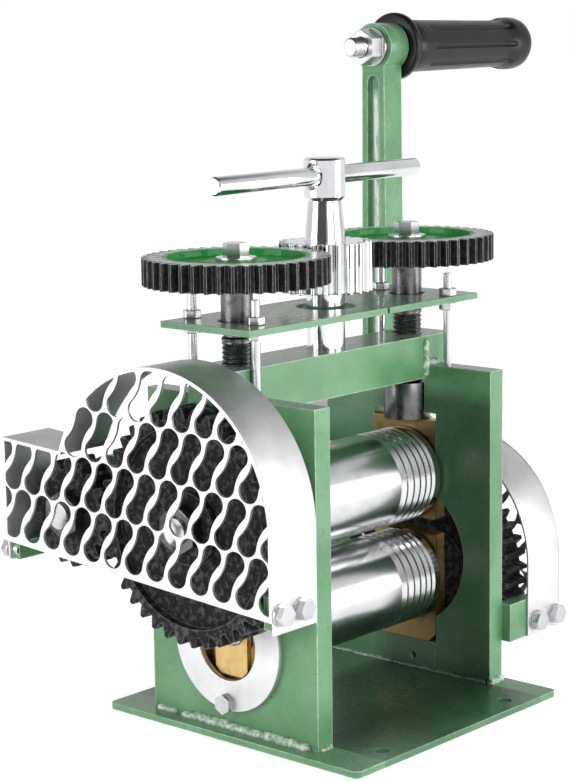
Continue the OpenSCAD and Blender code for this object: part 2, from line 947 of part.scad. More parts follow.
// The three hexagon bolts of the ring
module ring_bolts() {
    color("lightgray")
        ring_bolt_places() {
            hex_x(-plate_out - ring_t - ring_bolt_head_h, 0, 0, ring_bolt_head_r, ring_bolt_head_h);
            bar_x(-plate_out - ring_t, 0, 0, ring_bolt_r, ring_t + ring_bolt_len - seat_fit);
        }
}

// A bearing block on the +X side, bored for the roll neck and the stub
module bearing_block(axis_z, low, top, chamfer) {
    half = block_w / 2;
    nose_half = nose_w / 2;
    difference() {
        union() {
            slab(block_in, block_step - block_in)
                polygon([[-half + chamfer, low], [half - chamfer, low], [half, low + chamfer],
                    [half, top], [-half, top], [-half, low + chamfer]]);
            slab(block_step, nose_t)
                polygon([[-nose_half + nose_chamfer, axis_z - nose_drop],
                    [nose_half - nose_chamfer, axis_z - nose_drop],
                    [nose_half, axis_z - nose_drop + nose_chamfer], [nose_half, top],
                    [-nose_half, top], [-nose_half, axis_z - nose_drop + nose_chamfer]]);
        }
        bar_x(block_in - over, 0, axis_z, neck_r + run_fit, block_step - block_in + over);
        bar_x(block_step - over, 0, axis_z, stub_r + run_fit, nose_t + 2 * over);
    }
}

module lower_left_bearing() {
    color("peru")
        mirror([1, 0, 0])
            bearing_block(lower_z, slot_floor, lower_block_top, block_chamfer);
}

module lower_right_bearing() {
    color("peru")
        bearing_block(lower_z, slot_floor, lower_block_top, block_chamfer);
}

module upper_left_bearing() {
    color("peru")
        mirror([1, 0, 0])
            bearing_block(upper_z, upper_block_low, upper_block_top, upper_chamfer);
}

module upper_right_bearing() {
    color("peru")
        bearing_block(upper_z, upper_block_low, upper_block_top, upper_chamfer);
}

// The thrust washers on both necks of the roll whose axis is at the height z
module thrust_washers(z) {
    color("darkgoldenrod")
        for (x = [-roll_end - run_fit - washer_t, roll_end + run_fit])
            slab(x, washer_t)
                translate([0, z])
                    difference() {
                        circle(r = washer_r);
                        circle(r = neck_r + run_fit);
                    }
}

module lower_thrust_washers() {
    thrust_washers(lower_z);
}

module upper_thrust_washers() {
    thrust_washers(upper_z);
}

// The tube between the ears, round the crank shaft
module shaft_tube() {
    color("seagreen")
        slab(-plate_in, plate_gap)
            translate([shaft_y, shaft_z])
                difference() {
                    circle(r = tube_r);
                    circle(r = tube_bore_r);
                }
}

// The two flanged bushes of the crank shaft
module shaft_bushes() {
    color("darkgoldenrod")
        for (s = [0, 1])
            mirror([s, 0, 0])
                turned_x(shaft_y, shaft_z, [[plate_in, shaft_r + run_fit], [plate_in, bush_r],
                    [plate_out, bush_r], [plate_out, bush_flange_r],
                    [plate_out + bush_flange_t, bush_flange_r],
                    [plate_out + bush_flange_t, shaft_r + run_fit]]);
}

// The shoulder bolt that carries the idler gear
module idler_bolt() {
    shoulder = right_gear_x + drive_w + run_fit;
    color("silver")
        turned_x(idler_y, idler_z, [[plate_in, 0], [plate_in, idler_shank_r],
            [plate_out, idler_shank_r], [plate_out, idler_bolt_r], [shoulder, idler_bolt_r],
            [shoulder, idler_head_r], [shoulder + idler_head_t, idler_head_r],
            [shoulder + idler_head_t, 0]]);
}

// The collars that hold the feet of the screws on the upper blocks
module screw_collars() {
    color("dimgray")
        for (s = [-1, 1])
            turned_z(s * screw_x, [[screw_r + run_fit, collar_top], [collar_r, collar_top],
                [collar_r, upper_block_top], [foot_r + run_fit, upper_block_top],
                [foot_r + run_fit, foot_top + run_fit], [screw_r + run_fit, foot_top + run_fit]]);
}

// An adjusting screw with its foot, its neck and the seat of its gear
module adjusting_screw(x) {
    color("dimgray")
        difference() {
            turned_z(x, [[0, foot_low], [foot_r, foot_low], [foot_r, foot_top], [screw_r, foot_top],
                [screw_r, neck_low], [screw_r - neck_depth, neck_low + neck_depth],
                [screw_r - neck_depth, neck_high - neck_depth], [screw_r, neck_high],
                [screw_r, adjust_low], [screw_top_r, adjust_low], [screw_top_r, screw_top],
                [0, screw_top]]);
            translate([x, 0, screw_top - bolt_shank_len])
                cylinder(r = bolt_shank_r + seat_fit, h = bolt_shank_len + over);
        }
}

module left_adjusting_screw() {
    adjusting_screw(-screw_x);
}

module right_adjusting_screw() {
    adjusting_screw(screw_x);
}

// An adjusting gear, dished on both sides round its boss
module adjusting_gear(x, turn) {
    rim_r = adjust_module * adjust_teeth / 2 * adjust_rim_share;
    top = adjust_low + adjust_w;
    color("forestgreen")
        translate([x, 0, 0])
            difference() {
                translate([0, 0, adjust_low])
                    linear_extrude(adjust_w)
                        polygon(gear_points(adjust_teeth, adjust_module, adjust_pressure,
                            adjust_tip_share, adjust_root_share, adjust_play_share, turn));
                translate([0, 0, adjust_low - over])
                    cylinder(r = screw_top_r + seat_fit, h = adjust_w + 2 * over);
                translate([0, 0, top - boss_low])
                    cylinder(r = rim_r, h = boss_low + over);
                for (z = [adjust_low - over, top - adjust_recess])
                    translate([0, 0, z])
                        difference() {
                            cylinder(r = rim_r, h = adjust_recess + over);
                            translate([0, 0, -over])
                                cylinder(r = boss_r, h = adjust_recess + 3 * over);
                        }
            }
}

module left_adjusting_gear() {
    adjusting_gear(-screw_x, 0);
}

module right_adjusting_gear() {
    adjusting_gear(screw_x, 0);
}

// The bolt and washer that hold an adjusting gear on its screw
module gear_bolt(x) {
    seat = adjust_low + adjust_w - boss_low;
    color("lightgray")
        translate([x, 0, seat]) {
            cylinder(r = bolt_washer_r, h = bolt_washer_t);
            translate([0, 0, bolt_washer_t])
                hex_z(bolt_head_r, bolt_head_h);
            translate([0, 0, screw_top - bolt_shank_len + run_fit - seat])
                cylinder(r = bolt_shank_r, h = seat - screw_top + bolt_shank_len);
        }
}

module left_gear_bolt() {
    gear_bolt(-screw_x);
}

module right_gear_bolt() {
    gear_bolt(screw_x);
}

// The spindle that turns both screws, with the cross hole of the tee bar
module spindle() {
    seat = beam_low + beam_h;
    color("silver")
        difference() {
            turned_z(0, [[0, seat - spindle_foot_len + run_fit],
                [spindle_foot_r, seat - spindle_foot_len + run_fit], [spindle_foot_r, seat + run_fit],
                [spindle_r, seat + run_fit], [spindle_r, pinion_top],
                [spindle_shoulder_r, pinion_top], [spindle_waist_r, spindle_head_low],
                [spindle_head_r, spindle_head_low + spindle_head_r - spindle_waist_r],
                [spindle_head_r, spindle_top - spindle_chamfer],
                [spindle_head_r - spindle_chamfer, spindle_top], [0, spindle_top]]);
            translate([0, 0, tee_z])
                rotate([0, 90, tee_angle]) {
                    translate([0, 0, -spindle_head_r - over])
                        cylinder(r = tee_r + seat_fit, h = 2 * (spindle_head_r + over));
                    for (s = [0, 1])
                        mirror([0, 0, s])
                            translate([0, 0, spindle_head_r - tee_sink_depth])
                                cylinder(r1 = tee_r + seat_fit, r2 = tee_sink_r,
                                    h = tee_sink_depth + over);
                }
        }
}

// The long pinion of the spindle, in mesh with both adjusting gears
module spindle_pinion() {
    color("silver")
        translate([0, 0, pinion_low])
            linear_extrude(pinion_top - pinion_low)
                difference() {
                    polygon(gear_points(spindle_teeth, adjust_module, adjust_pressure,
                        adjust_tip_share, adjust_root_share, adjust_play_share,
                        180 / spindle_teeth));
                    circle(r = spindle_r + seat_fit);
                }
}

// The tee bar in the spindle's head
module tee_bar() {
    color("gainsboro")
        rotate([0, 0, tee_angle])
            turned_x(0, tee_z, [[-tee_left, 0], [-tee_left, tee_r - tee_chamfer],
                [-tee_left + tee_chamfer, tee_r], [tee_right - tee_chamfer, tee_r],
                [tee_right, tee_r - tee_chamfer], [tee_right, 0]]);
}

// Width of the wire groove i, counted from the end of the roll, and the place of its middle
function groove_width(i) = groove_end_w + i * groove_fall;
function groove_x(i) = i == 0
    ? roll_end - groove_edge - groove_land - groove_width(0) / 2
    : groove_x(i - 1) - groove_land - (groove_width(i - 1) + groove_width(i)) / 2;

// Profile points of the barrel's surface with its wire grooves, from left to right
function barrel_points() = [
    [-roll_end, roll_r],
    for (i = [groove_count - 1 : -1 : 0])
        for (k = [-1, 0, 1])
            [groove_x(i) + k * groove_width(i) / 2,
                roll_r - (k == 0 ? groove_width(i) * groove_depth_share : 0)],
    [roll_end, roll_r]
];

// A roll: left gives the profile of its left end, right that of its right end
module roll(z, left, right) {
    color("silver")
        turned_x(0, z, concat(left, [[-neck_end, stub_r], [-neck_end, neck_r],
            [-roll_end, neck_r]], barrel_points(), [[roll_end, neck_r], [neck_end, neck_r],
            [neck_end, stub_r]], right));
}

// Profile of a plain stub end at x, outwards along dir
function plain_end(x, dir) = [[x, 0], [x, stub_r - stub_chamfer],
    [x - dir * stub_chamfer, stub_r]];

// Profile of a stub with a gear seat that ends at x and a thread beyond it
function gear_end(x, dir) = [[x + dir * (drive_nut_h + thread_over), 0],
    [x + dir * (drive_nut_h + thread_over), thread_r], [x, thread_r], [x, stub_r]];

function backwards(list) = [for (i = [len(list) - 1 : -1 : 0]) list[i]];

module upper_roll() {
    roll(upper_z, gear_end(-left_gear_x - drive_w, -1), backwards(plain_end(lower_stub_end, 1)));
}

module lower_roll() {
    roll(lower_z, plain_end(-lower_stub_end, -1), backwards(gear_end(right_gear_x + drive_w, 1)));
}

// A spur gear on an axis along X, its teeth from x to x + w
module gear_x(x, y, z, w, teeth, mod, turn) {
    slab(x, w)
        translate([y, z])
            polygon(gear_points(teeth, mod, drive_pressure, drive_tip_share, drive_root_share,
                drive_play_share, turn));
}

// The dished faces of a large drive gear
module drive_dish(x, z, mod) {
    rim_r = mod * drive_teeth / 2 * drive_rim_share;
    for (s = [x - over, x + drive_w - drive_recess])
        difference() {
            bar_x(s, 0, z, rim_r, drive_recess + over);
            bar_x(s - over, 0, z, drive_hub_r, drive_recess + 3 * over);
        }
}

module upper_drive_gear() {
    x = -left_gear_x - drive_w;
    color("dimgray")
        difference() {
            union() {
                difference() {
                    gear_x(x, 0, upper_z, drive_w, drive_teeth, left_module,
                        left_train_angle + 180);
                    drive_dish(x, upper_z, left_module);
                }
                bar_x(-left_gear_x - over, 0, upper_z, drive_hub_r, left_gear_off - hub_gap + over);
            }
            bar_x(x - over, 0, upper_z, stub_r + seat_fit, drive_w + left_gear_off + 2 * over);
        }
}

module lower_drive_gear() {
    color("dimgray")
        difference() {
            union() {
                difference() {
                    gear_x(right_gear_x, 0, lower_z, drive_w, drive_teeth, right_module,
                        train_angle + 180);
                    drive_dish(right_gear_x, lower_z, right_module);
                }
                bar_x(plate_out + hub_gap, 0, lower_z, drive_hub_r,
                    right_gear_off - hub_gap + over);
            }
            bar_x(plate_out, 0, lower_z, stub_r + seat_fit, drive_w + right_gear_off + over);
        }
}

// A hexagon nut on an axis along X
module shaft_nut(x, y, z, h, r, bore_r) {
    color("lightgray")
        difference() {
            hex_x(x, y, z, r, h);
            bar_x(x - over, y, z, bore_r + nut_clear, h + 2 * over);
        }
}

module upper_gear_nut() {
    shaft_nut(-left_gear_x - drive_w - drive_nut_h, 0, upper_z, drive_nut_h, drive_nut_r, thread_r);
}

module lower_gear_nut() {
    shaft_nut(right_gear_x + drive_w, 0, lower_z, drive_nut_h, drive_nut_r, thread_r);
}

// The idler between the right crank pinion and the lower drive gear
module idler_gear() {
    color("dimgray")
        difference() {
            union() {
                gear_x(right_gear_x, idler_y, idler_z, drive_w, idler_teeth, right_module,
                    train_angle + 180 / idler_teeth);
                bar_x(plate_out + hub_gap, idler_y, idler_z, idler_hub_r,
                    right_gear_off - hub_gap + over);
            }
            bar_x(plate_out, idler_y, idler_z, idler_bolt_r + run_fit,
                right_gear_off + drive_w + over);
        }
}

// The stepped crank shaft
module crank_shaft() {
    left_end = -left_gear_x - drive_w;
    arm_end = arm_x + arm_t;
    color("silver")
        turned_x(shaft_y, shaft_z, [[left_end - drive_nut_h - thread_over, 0],
            [left_end - drive_nut_h - thread_over, thread_r], [left_end, thread_r],
            [left_end, arm_seat_r], [-left_gear_x, arm_seat_r], [-left_gear_x, shaft_r],
            [right_gear_x, shaft_r], [right_gear_x, right_seat_r],
            [right_gear_x + drive_w, right_seat_r], [right_gear_x + drive_w, arm_seat_r],
            [arm_end, arm_seat_r], [arm_end, thread_r],
            [arm_end + drive_nut_h + thread_over, thread_r],
            [arm_end + drive_nut_h + thread_over, 0]]);
}

// The crank pinion of the left pair, with its hub towards the bush
module left_crank_pinion() {
    hub_end = plate_out + bush_flange_t + hub_gap;
    x = -left_gear_x - drive_w;
    color("dimgray")
        difference() {
            union() {
                gear_x(x, shaft_y, shaft_z, drive_w, crank_teeth, left_module,
                    left_train_angle + 180 / crank_teeth);
                bar_x(-left_gear_x - over, shaft_y, shaft_z, pinion_hub_r,
                    left_gear_x - hub_end + over);
            }
            bar_x(x - over, shaft_y, shaft_z, arm_seat_r + seat_fit, drive_w + over);
            bar_x(-left_gear_x, shaft_y, shaft_z, shaft_r + seat_fit, left_gear_off + over);
        }
}

// The crank pinion of the right train
module right_crank_pinion() {
    hub_start = plate_out + bush_flange_t + hub_gap;
    color("dimgray")
        difference() {
            union() {
                gear_x(right_gear_x, shaft_y, shaft_z, drive_w, crank_teeth, right_module,
                    train_angle);
                bar_x(hub_start, shaft_y, shaft_z, pinion_hub_r, right_gear_x - hub_start + over);
            }
            bar_x(hub_start - over, shaft_y, shaft_z, shaft_r + seat_fit,
                right_gear_x - hub_start + over);
            bar_x(right_gear_x - over, shaft_y, shaft_z, right_seat_r + seat_fit,
                drive_w + 2 * over);
        }
}

// The sleeve between the right pinion and the crank arm
module crank_spacer() {
    start = right_gear_x + drive_w;
    color("silver")
        slab(start, arm_x - start)
            translate([shaft_y, shaft_z])
                difference() {
                    circle(r = spacer_r);
                    circle(r = arm_seat_r + seat_fit);
                }
}

// The long panel sunk in each face of the crank arm
module arm_panel() {
    low = shaft_z + arm_hub_r + arm_panel_end;
    high = head_z - arm_head_r - arm_panel_end;
    low_half = arm_low_w / 2 - arm_panel_edge;
    high_half = arm_high_w / 2 - arm_panel_edge;
    translate([shaft_y, 0]) {
        polygon([[-low_half, low], [low_half, low], [high_half, high], [-high_half, high]]);
        translate([0, low])
            circle(r = low_half);
        translate([0, high])
            circle(r = high_half);
    }
}

// The crank arm, with a hub on the shaft and a head for the grip's bolt
module crank_arm() {
    color("mediumseagreen")
        difference() {
            slab(arm_x, arm_t)
                difference() {
                    translate([shaft_y, 0])
                        union() {
                            translate([0, shaft_z])
                                circle(r = arm_hub_r);
                            translate([0, head_z])
                                circle(r = arm_head_r);
                            polygon([[-arm_low_w / 2, shaft_z], [arm_low_w / 2, shaft_z],
                                [arm_high_w / 2, head_z], [-arm_high_w / 2, head_z]]);
                        }
                    translate([shaft_y, shaft_z])
                        circle(r = arm_seat_r + seat_fit);
                    translate([shaft_y, head_z])
                        circle(r = grip_bolt_r + seat_fit);
                }
            for (x = [arm_x - over, arm_x + arm_t - arm_panel_depth])
                slab(x, arm_panel_depth + over)
                    arm_panel();
        }
}

// The nuts at both ends of the crank shaft
module crank_nuts() {
    shaft_nut(-left_gear_x - drive_w - drive_nut_h, shaft_y, shaft_z, drive_nut_h, drive_nut_r,
        thread_r);
    shaft_nut(arm_x + arm_t, shaft_y, shaft_z, drive_nut_h, drive_nut_r, thread_r);
}

// The bolt that goes through the arm's head and the whole length of the grip
module grip_bolt() {
    color("silver")
        turned_x(shaft_y, head_z, [[arm_x - grip_nut_h - grip_washer_t - grip_bolt_over, 0],
            [arm_x - grip_nut_h - grip_washer_t - grip_bolt_over, grip_bolt_r],
            [grip_head_x, grip_bolt_r], [grip_head_x, grip_head_r],
            [grip_head_x + grip_head_h, grip_head_r], [grip_head_x + grip_head_h, 0]]);
}

// The nut and washer on the grip's bolt
module grip_nut() {
    shaft_nut(arm_x - grip_nut_h - grip_washer_t, shaft_y, head_z, grip_nut_h, grip_nut_r,
        grip_bolt_r);
    color("lightgray")
        slab(arm_x - grip_washer_t, grip_washer_t)
            translate([shaft_y, head_z])
                difference() {
                    circle(r = grip_washer_r);
                    circle(r = grip_bolt_r + nut_clear);
                }
}

// The steel sleeve inside the grip, free to turn on the bolt
module grip_sleeve() {
    color("silver")
        slab(grip_x, grip_head_x - run_fit - grip_x)
            translate([shaft_y, head_z])
                difference() {
                    circle(r = sleeve_r);
                    circle(r = grip_bolt_r + run_fit);
                }
}

// The moulded hand grip, fluted along its barrel
module hand_grip() {
    flute_end = grip_len * flute_stop_share;
    color("dimgray")
        difference() {
            turned_x(shaft_y, head_z, [for (p = grip_profile) [grip_x + p[0] * grip_len, p[1]]]);
            for (i = [0 : flute_count - 1])
                translate([grip_x + flute_start, shaft_y, head_z])
                    rotate([360 * i / flute_count, 0, 0])
                        translate([0, 0, grip_r + flute_r * flute_out_share])
                            rotate([0, 90, 0])
                                cylinder(r = flute_r, h = flute_end - flute_start, $fn = 16);
        }
}

base_plate();
left_side_plate();
right_side_plate();
slot_filler_blocks();
cross_beam();
top_plate();
support_rods();
rod_nuts();
left_guard_face();
left_guard_rim();
left_guard_brackets();
right_guard_face();
right_guard_rim();
right_guard_brackets();
guard_bolts();
retaining_ring();
ring_bolts();
lower_left_bearing();
lower_right_bearing();
lower_thrust_washers();
shaft_tube();
shaft_bushes();
idler_bolt();
upper_left_bearing();
upper_right_bearing();
screw_collars();
upper_thrust_washers();
left_adjusting_screw();
left_adjusting_gear();
left_gear_bolt();
right_adjusting_screw();
right_adjusting_gear();
right_gear_bolt();
spindle();
spindle_pinion();
tee_bar();
upper_roll();
upper_drive_gear();
upper_gear_nut();
lower_roll();
lower_drive_gear();
lower_gear_nut();
idler_gear();
crank_shaft();
left_crank_pinion();
right_crank_pinion();
crank_spacer();
crank_arm();
crank_nuts();
grip_bolt();
grip_nut();
grip_sleeve();
hand_grip();
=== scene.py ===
"""Looks of the hand cranked jewellers rolling mill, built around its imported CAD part."""
import json
import math
import random

import bmesh
import bpy
from mathutils import Matrix, Vector, noise as field
from mathutils.geometry import delaunay_2d_cdt


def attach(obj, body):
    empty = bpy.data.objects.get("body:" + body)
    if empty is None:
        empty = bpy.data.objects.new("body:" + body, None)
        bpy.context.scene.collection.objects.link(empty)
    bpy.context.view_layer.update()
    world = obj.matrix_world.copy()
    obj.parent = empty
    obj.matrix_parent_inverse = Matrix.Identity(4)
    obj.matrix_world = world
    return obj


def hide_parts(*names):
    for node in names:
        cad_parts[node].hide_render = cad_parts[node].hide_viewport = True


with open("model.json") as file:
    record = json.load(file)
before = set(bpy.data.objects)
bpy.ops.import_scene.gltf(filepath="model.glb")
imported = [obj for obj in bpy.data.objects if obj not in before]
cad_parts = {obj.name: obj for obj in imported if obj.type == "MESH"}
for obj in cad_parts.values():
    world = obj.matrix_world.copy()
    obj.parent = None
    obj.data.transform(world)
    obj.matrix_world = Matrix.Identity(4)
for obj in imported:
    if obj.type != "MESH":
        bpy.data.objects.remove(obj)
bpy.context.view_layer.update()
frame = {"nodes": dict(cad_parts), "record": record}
MM = 0.001
SCREW_X = 58.5  # the adjusting screws' distance from the middle, in millimetres
SCENE = bpy.context.scene

# Node helpers


def new_material(name):
    """A material with an empty node tree, its Principled shader and its output."""
    mat = bpy.data.materials.new(name)
    mat.use_nodes = True
    tree = mat.node_tree
    tree.nodes.clear()
    out = tree.nodes.new("ShaderNodeOutputMaterial")
    shader = tree.nodes.new("ShaderNodeBsdfPrincipled")
    tree.links.new(shader.outputs[0], out.inputs[0])
    return mat, tree, shader


def add(tree, kind, inputs=None, **props):
    """A node with its properties and inputs set; an input may be a value or a socket."""
    node = tree.nodes.new(kind)
    for key, value in props.items():
        setattr(node, key, value)
    for key, value in (inputs or {}).items():
        if isinstance(value, bpy.types.NodeSocket):
            tree.links.new(value, node.inputs[key])
        else:
            node.inputs[key].default_value = value
    return node


def coords(tree, scale=(1, 1, 1)):
    """Object coordinates in metres, stretched by scale."""
    tex = add(tree, "ShaderNodeTexCoord")
    mapping = add(tree, "ShaderNodeMapping", {"Vector": tex.outputs["Object"], "Scale": scale})
    return mapping.outputs[0]


def noise(tree, vector, scale, detail=3, rough=0.5):
    """The grey value of a noise texture."""
    inputs = {"Vector": vector, "Scale": scale, "Detail": detail, "Roughness": rough}
    return add(tree, "ShaderNodeTexNoise", inputs).outputs["Fac"]


def math_node(tree, kind, a, b=0.0):
    """The result of a Math node; ABSOLUTE and SQRT need only a."""
    return add(tree, "ShaderNodeMath", {0: a, 1: b}, operation=kind).outputs[0]


def product(tree, *factors):
    """Two or more masks multiplied together."""
    result = factors[0]
    for factor in factors[1:]:
        result = math_node(tree, "MULTIPLY", result, factor)
    return result


def spread(tree, value, low, high, to_low=0.0, to_high=1.0):
    """value, mapped from low..high to to_low..to_high and held at both ends."""
    inputs = {"Value": value, "From Min": low, "From Max": high,
              "To Min": to_low, "To Max": to_high}
    return add(tree, "ShaderNodeMapRange", inputs).outputs[0]


def ramp(tree, factor, stops):
    """A colour ramp; each stop is (position, grey value or colour)."""
    node = add(tree, "ShaderNodeValToRGB", {"Fac": factor})
    items = node.color_ramp.elements
    while len(items) < len(stops):
        items.new(0.5)
    for item, (place, value) in zip(items, stops):
        item.position = place
        item.color = (*value, 1) if isinstance(value, tuple) else (value, value, value, 1)
    return node.outputs[0]


def mix(tree, factor, a, b):
    """Colour a turning into colour b; both and the factor may be values or sockets."""
    node = tree.nodes.new("ShaderNodeMix")
    node.data_type = "RGBA"
    for key, value in ((0, factor), (6, a), (7, b)):
        if isinstance(value, bpy.types.NodeSocket):
            tree.links.new(value, node.inputs[key])
        elif isinstance(value, tuple):
            node.inputs[key].default_value = (*value, 1)
        else:
            node.inputs[key].default_value = value
    return node.outputs[2]


def bump(tree, height, strength, distance, normal=None):
    """A bump normal, laid over another one if it is given."""
    inputs = {"Height": height, "Strength": strength, "Distance": distance}
    if normal is not None:
        inputs["Normal"] = normal
    return add(tree, "ShaderNodeBump", inputs).outputs[0]


def edges(tree, radius):
    """White near the outer edges of a piece, from the Bevel node against the true normal."""
    geo = add(tree, "ShaderNodeNewGeometry")
    bevel = add(tree, "ShaderNodeBevel", {"Radius": radius}, samples=6)
    normals = {0: geo.outputs["Normal"], 1: bevel.outputs[0]}
    dot = add(tree, "ShaderNodeVectorMath", normals, operation="DOT_PRODUCT")
    return spread(tree, dot.outputs["Value"], 0.995, 0.86)


# Materials

PAINT_DEEP = (0.060, 0.185, 0.078)
PAINT_MID = (0.100, 0.254, 0.119)
PAINT_PALE = (0.158, 0.322, 0.180)
# Pale edge colour: chips and a painted highlight
PAINT_CHIP_AND_HIGHLIGHT = (0.50, 0.62, 0.52)
PAINT_BARE = (0.035, 0.040, 0.035)
PAINT_RUBBED = (0.66, 0.74, 0.66)
PAINT_TOP = (0.250, 0.245, 0.245)
# Painted shade between the side plates, and deeper still on the floor there
PAINT_SHADE_INSIDE = (0.008, 0.022, 0.012)
PAINT_SHADE_FLOOR = (0.006, 0.018, 0.010)
CHANNEL_WHITE = (0.72, 0.80, 0.72)
GEAR_GREEN = (0.010, 0.400, 0.055)
GEAR_GREEN_PALE = (0.10, 0.42, 0.14)
GEAR_RIM = (0.80, 0.81, 0.80)
# Painted highlight on the gear's tooth edges
GEAR_EDGE_HIGHLIGHT = (0.72, 0.72, 0.72)
IRON = (0.006, 0.006, 0.0065)
IRON_LIFT = (0.022, 0.022, 0.024)
# Painted glints, then pale edges of wear and painted highlight
IRON_PAINTED_GLINT = (0.105, 0.105, 0.110)
IRON_WEAR_AND_HIGHLIGHT = (0.30, 0.30, 0.31)
BEARING_SHADE = (0.045, 0.035, 0.022)
RUBBER = (0.004, 0.004, 0.0045)
RUBBER_LIFT = (0.010, 0.010, 0.011)

# Places on the CAD part where a finish or a painted shade changes, in metres; a pair is where it
# starts and ends

# Where the painted shade between the side plates fades in and out
INSIDE_X = (0.0568, 0.0566)
INSIDE_BELOW_BEAM = (0.142, 0.134)
INSIDE_FRONT = (-0.092, -0.045)
INSIDE_REAR = (0.020, 0.008)
INNER_FLOOR_Z = (0.012, 0.004)
GREYED_ABOVE = (0.138, 0.142)
CHANNEL_Y = 0.0724
CHANNEL_STREAK = (0.0021, 0.0009)
CHANNEL_TOP = (0.276, 0.270)
CHANNEL_BOTTOM_X = (0.1262, 0.1254)
BEARING_INSIDE = (0.0580, 0.0565)
GEAR_TOP = (0.2113, 0.2114)
GEAR_WEB = (0.0321, 0.0317)


def paint_zones(tree, colour):
    """Painted shade between the side plates, and the paint greyer on upward faces above them.

    Returns the colour and the mask of the painted shade between the plates.
    """
    tex = add(tree, "ShaderNodeTexCoord")
    at = add(tree, "ShaderNodeSeparateXYZ", {0: tex.outputs["Object"]})
    facing = add(tree, "ShaderNodeSeparateXYZ", {0: tex.outputs["Normal"]})
    inside = product(tree, spread(tree, math_node(tree, "ABSOLUTE", at.outputs["X"]), *INSIDE_X),
                     spread(tree, at.outputs["Z"], *INSIDE_BELOW_BEAM),
                     spread(tree, at.outputs["Y"], *INSIDE_FRONT),
                     spread(tree, at.outputs["Y"], *INSIDE_REAR, 0.30, 1.0))
    # Painted shade: the paint darkened between the side plates, and more on the floor between them
    shaded_floor = product(tree, inside, spread(tree, at.outputs["Z"], *INNER_FLOOR_Z))
    colour = mix(tree, product(tree, inside, 0.68), colour, PAINT_SHADE_INSIDE)
    colour = mix(tree, product(tree, shaded_floor, 0.6), colour, PAINT_SHADE_FLOOR)
    # The paint greyer on faces that look up, above the side plates
    above = product(tree, spread(tree, facing.outputs["Z"], 0.80, 0.95),
                    spread(tree, at.outputs["Z"], *GREYED_ABOVE))
    return mix(tree, product(tree, above, 0.75), colour, PAINT_TOP), inside


def channel_stripe(tree, colour):
    """A broken whitish streak down the middle of the crank arm's channel."""
    tex = add(tree, "ShaderNodeTexCoord")
    at = add(tree, "ShaderNodeSeparateXYZ", {0: tex.outputs["Object"]})
    away = math_node(tree, "ABSOLUTE", math_node(tree, "SUBTRACT", at.outputs["Y"], CHANNEL_Y))
    speck = noise(tree, coords(tree, (1, 1, 0.25)), 420, 4, 0.7)
    mask = product(tree, spread(tree, away, *CHANNEL_STREAK),
                   spread(tree, at.outputs["Z"], *CHANNEL_TOP),
                   spread(tree, at.outputs["X"], *CHANNEL_BOTTOM_X),
                   spread(tree, speck, 0.36, 0.52, 0.25, 0.95))
    return mix(tree, mask, colour, CHANNEL_WHITE)


def green_paint(name, whiten=0.0, stripe=False):
    """Glossy green enamel over steel: clouded, fine orange peel, chips and painted highlight on
    edges.
    """
    mat, tree, sh = new_material(name)
    at = coords(tree)
    cloud = noise(tree, at, 24, 4, 0.6)
    fine = noise(tree, at, 380, 3, 0.6)
    chip = noise(tree, at, 170, 4, 0.7)
    streak = noise(tree, coords(tree, (1, 1, 0.10)), 120, 3, 0.6)
    colour = ramp(tree, cloud, [(0.30, PAINT_DEEP), (0.52, PAINT_MID), (0.76, PAINT_PALE)])
    colour = mix(tree, ramp(tree, streak, [(0.58, 0.0), (0.85, 0.35)]), colour, PAINT_PALE)
    # Painted highlight on the edges, broken up by chips: part wear, part light on the edges
    wear_and_highlight = product(tree, edges(tree, 0.0010), spread(tree, chip, 0.38, 0.60, 0.25, 1.0))
    colour = mix(tree, wear_and_highlight, colour, PAINT_CHIP_AND_HIGHLIGHT)
    bare = product(tree, edges(tree, 0.0016), spread(tree, chip, 0.66, 0.70))
    colour = mix(tree, bare, colour, PAINT_BARE)
    if whiten:
        colour = mix(tree, spread(tree, fine, 0.40, 0.62, 0.15, whiten), colour, PAINT_RUBBED)
    if stripe:
        colour = channel_stripe(tree, colour)
    # Painted shade between the side plates, and grey on faces that look up above them
    colour, inside = paint_zones(tree, colour)
    tree.links.new(colour, sh.inputs["Base Color"])
    tree.links.new(spread(tree, fine, 0.3, 0.7, 0.24, 0.40), sh.inputs["Roughness"])
    low = bump(tree, cloud, 0.35, 0.0008)
    tree.links.new(bump(tree, fine, 0.20, 0.0002, low), sh.inputs["Normal"])
    tree.links.new(spread(tree, inside, 0.0, 1.0, 0.30, 0.05), sh.inputs["Coat Weight"])
    sh.inputs["Specular IOR Level"].default_value = 0.35
    sh.inputs["Coat Roughness"].default_value = 0.16
    return mat


def metal(name, base, rough, brush=None, grain=0.05, dirt=0.0,
          dirt_colour=(0.05, 0.05, 0.05), spots=60, shade=0.0):
    """A bare metal with clouding and some dirt.

    brush stretches the fine lines of its surface, grain is how much they vary the roughness,
    and shade darkens it between the side plates.
    """
    mat, tree, sh = new_material(name)
    at = coords(tree)
    cloud = noise(tree, at, spots, 4, 0.55)
    if brush:
        line = noise(tree, coords(tree, brush), 900, 2, 0.5)
    else:
        line = noise(tree, at, 900, 3, 0.6)
    dark = tuple(c * 0.80 for c in base)
    colour = mix(tree, ramp(tree, cloud, [(0.3, 0.0), (0.7, 1.0)]), dark, base)
    if dirt:
        patches = noise(tree, at, spots * 1.7, 5, 0.7)
        colour = mix(tree, ramp(tree, patches, [(0.52, 0.0), (0.66, dirt)]), colour, dirt_colour)
    if shade:
        split = add(tree, "ShaderNodeSeparateXYZ", {0: at})
        across = math_node(tree, "ABSOLUTE", split.outputs["X"])
        between = spread(tree, across, *BEARING_INSIDE, 0.0, shade)
        colour = mix(tree, between, colour, BEARING_SHADE)
    tree.links.new(colour, sh.inputs["Base Color"])
    sh.inputs["Metallic"].default_value = 1.0
    value = spread(tree, line, 0.3, 0.7, max(0.02, rough - grain), rough + grain)
    tree.links.new(value, sh.inputs["Roughness"])
    tree.links.new(bump(tree, line, 0.02 + grain, 0.00004), sh.inputs["Normal"])
    return mat


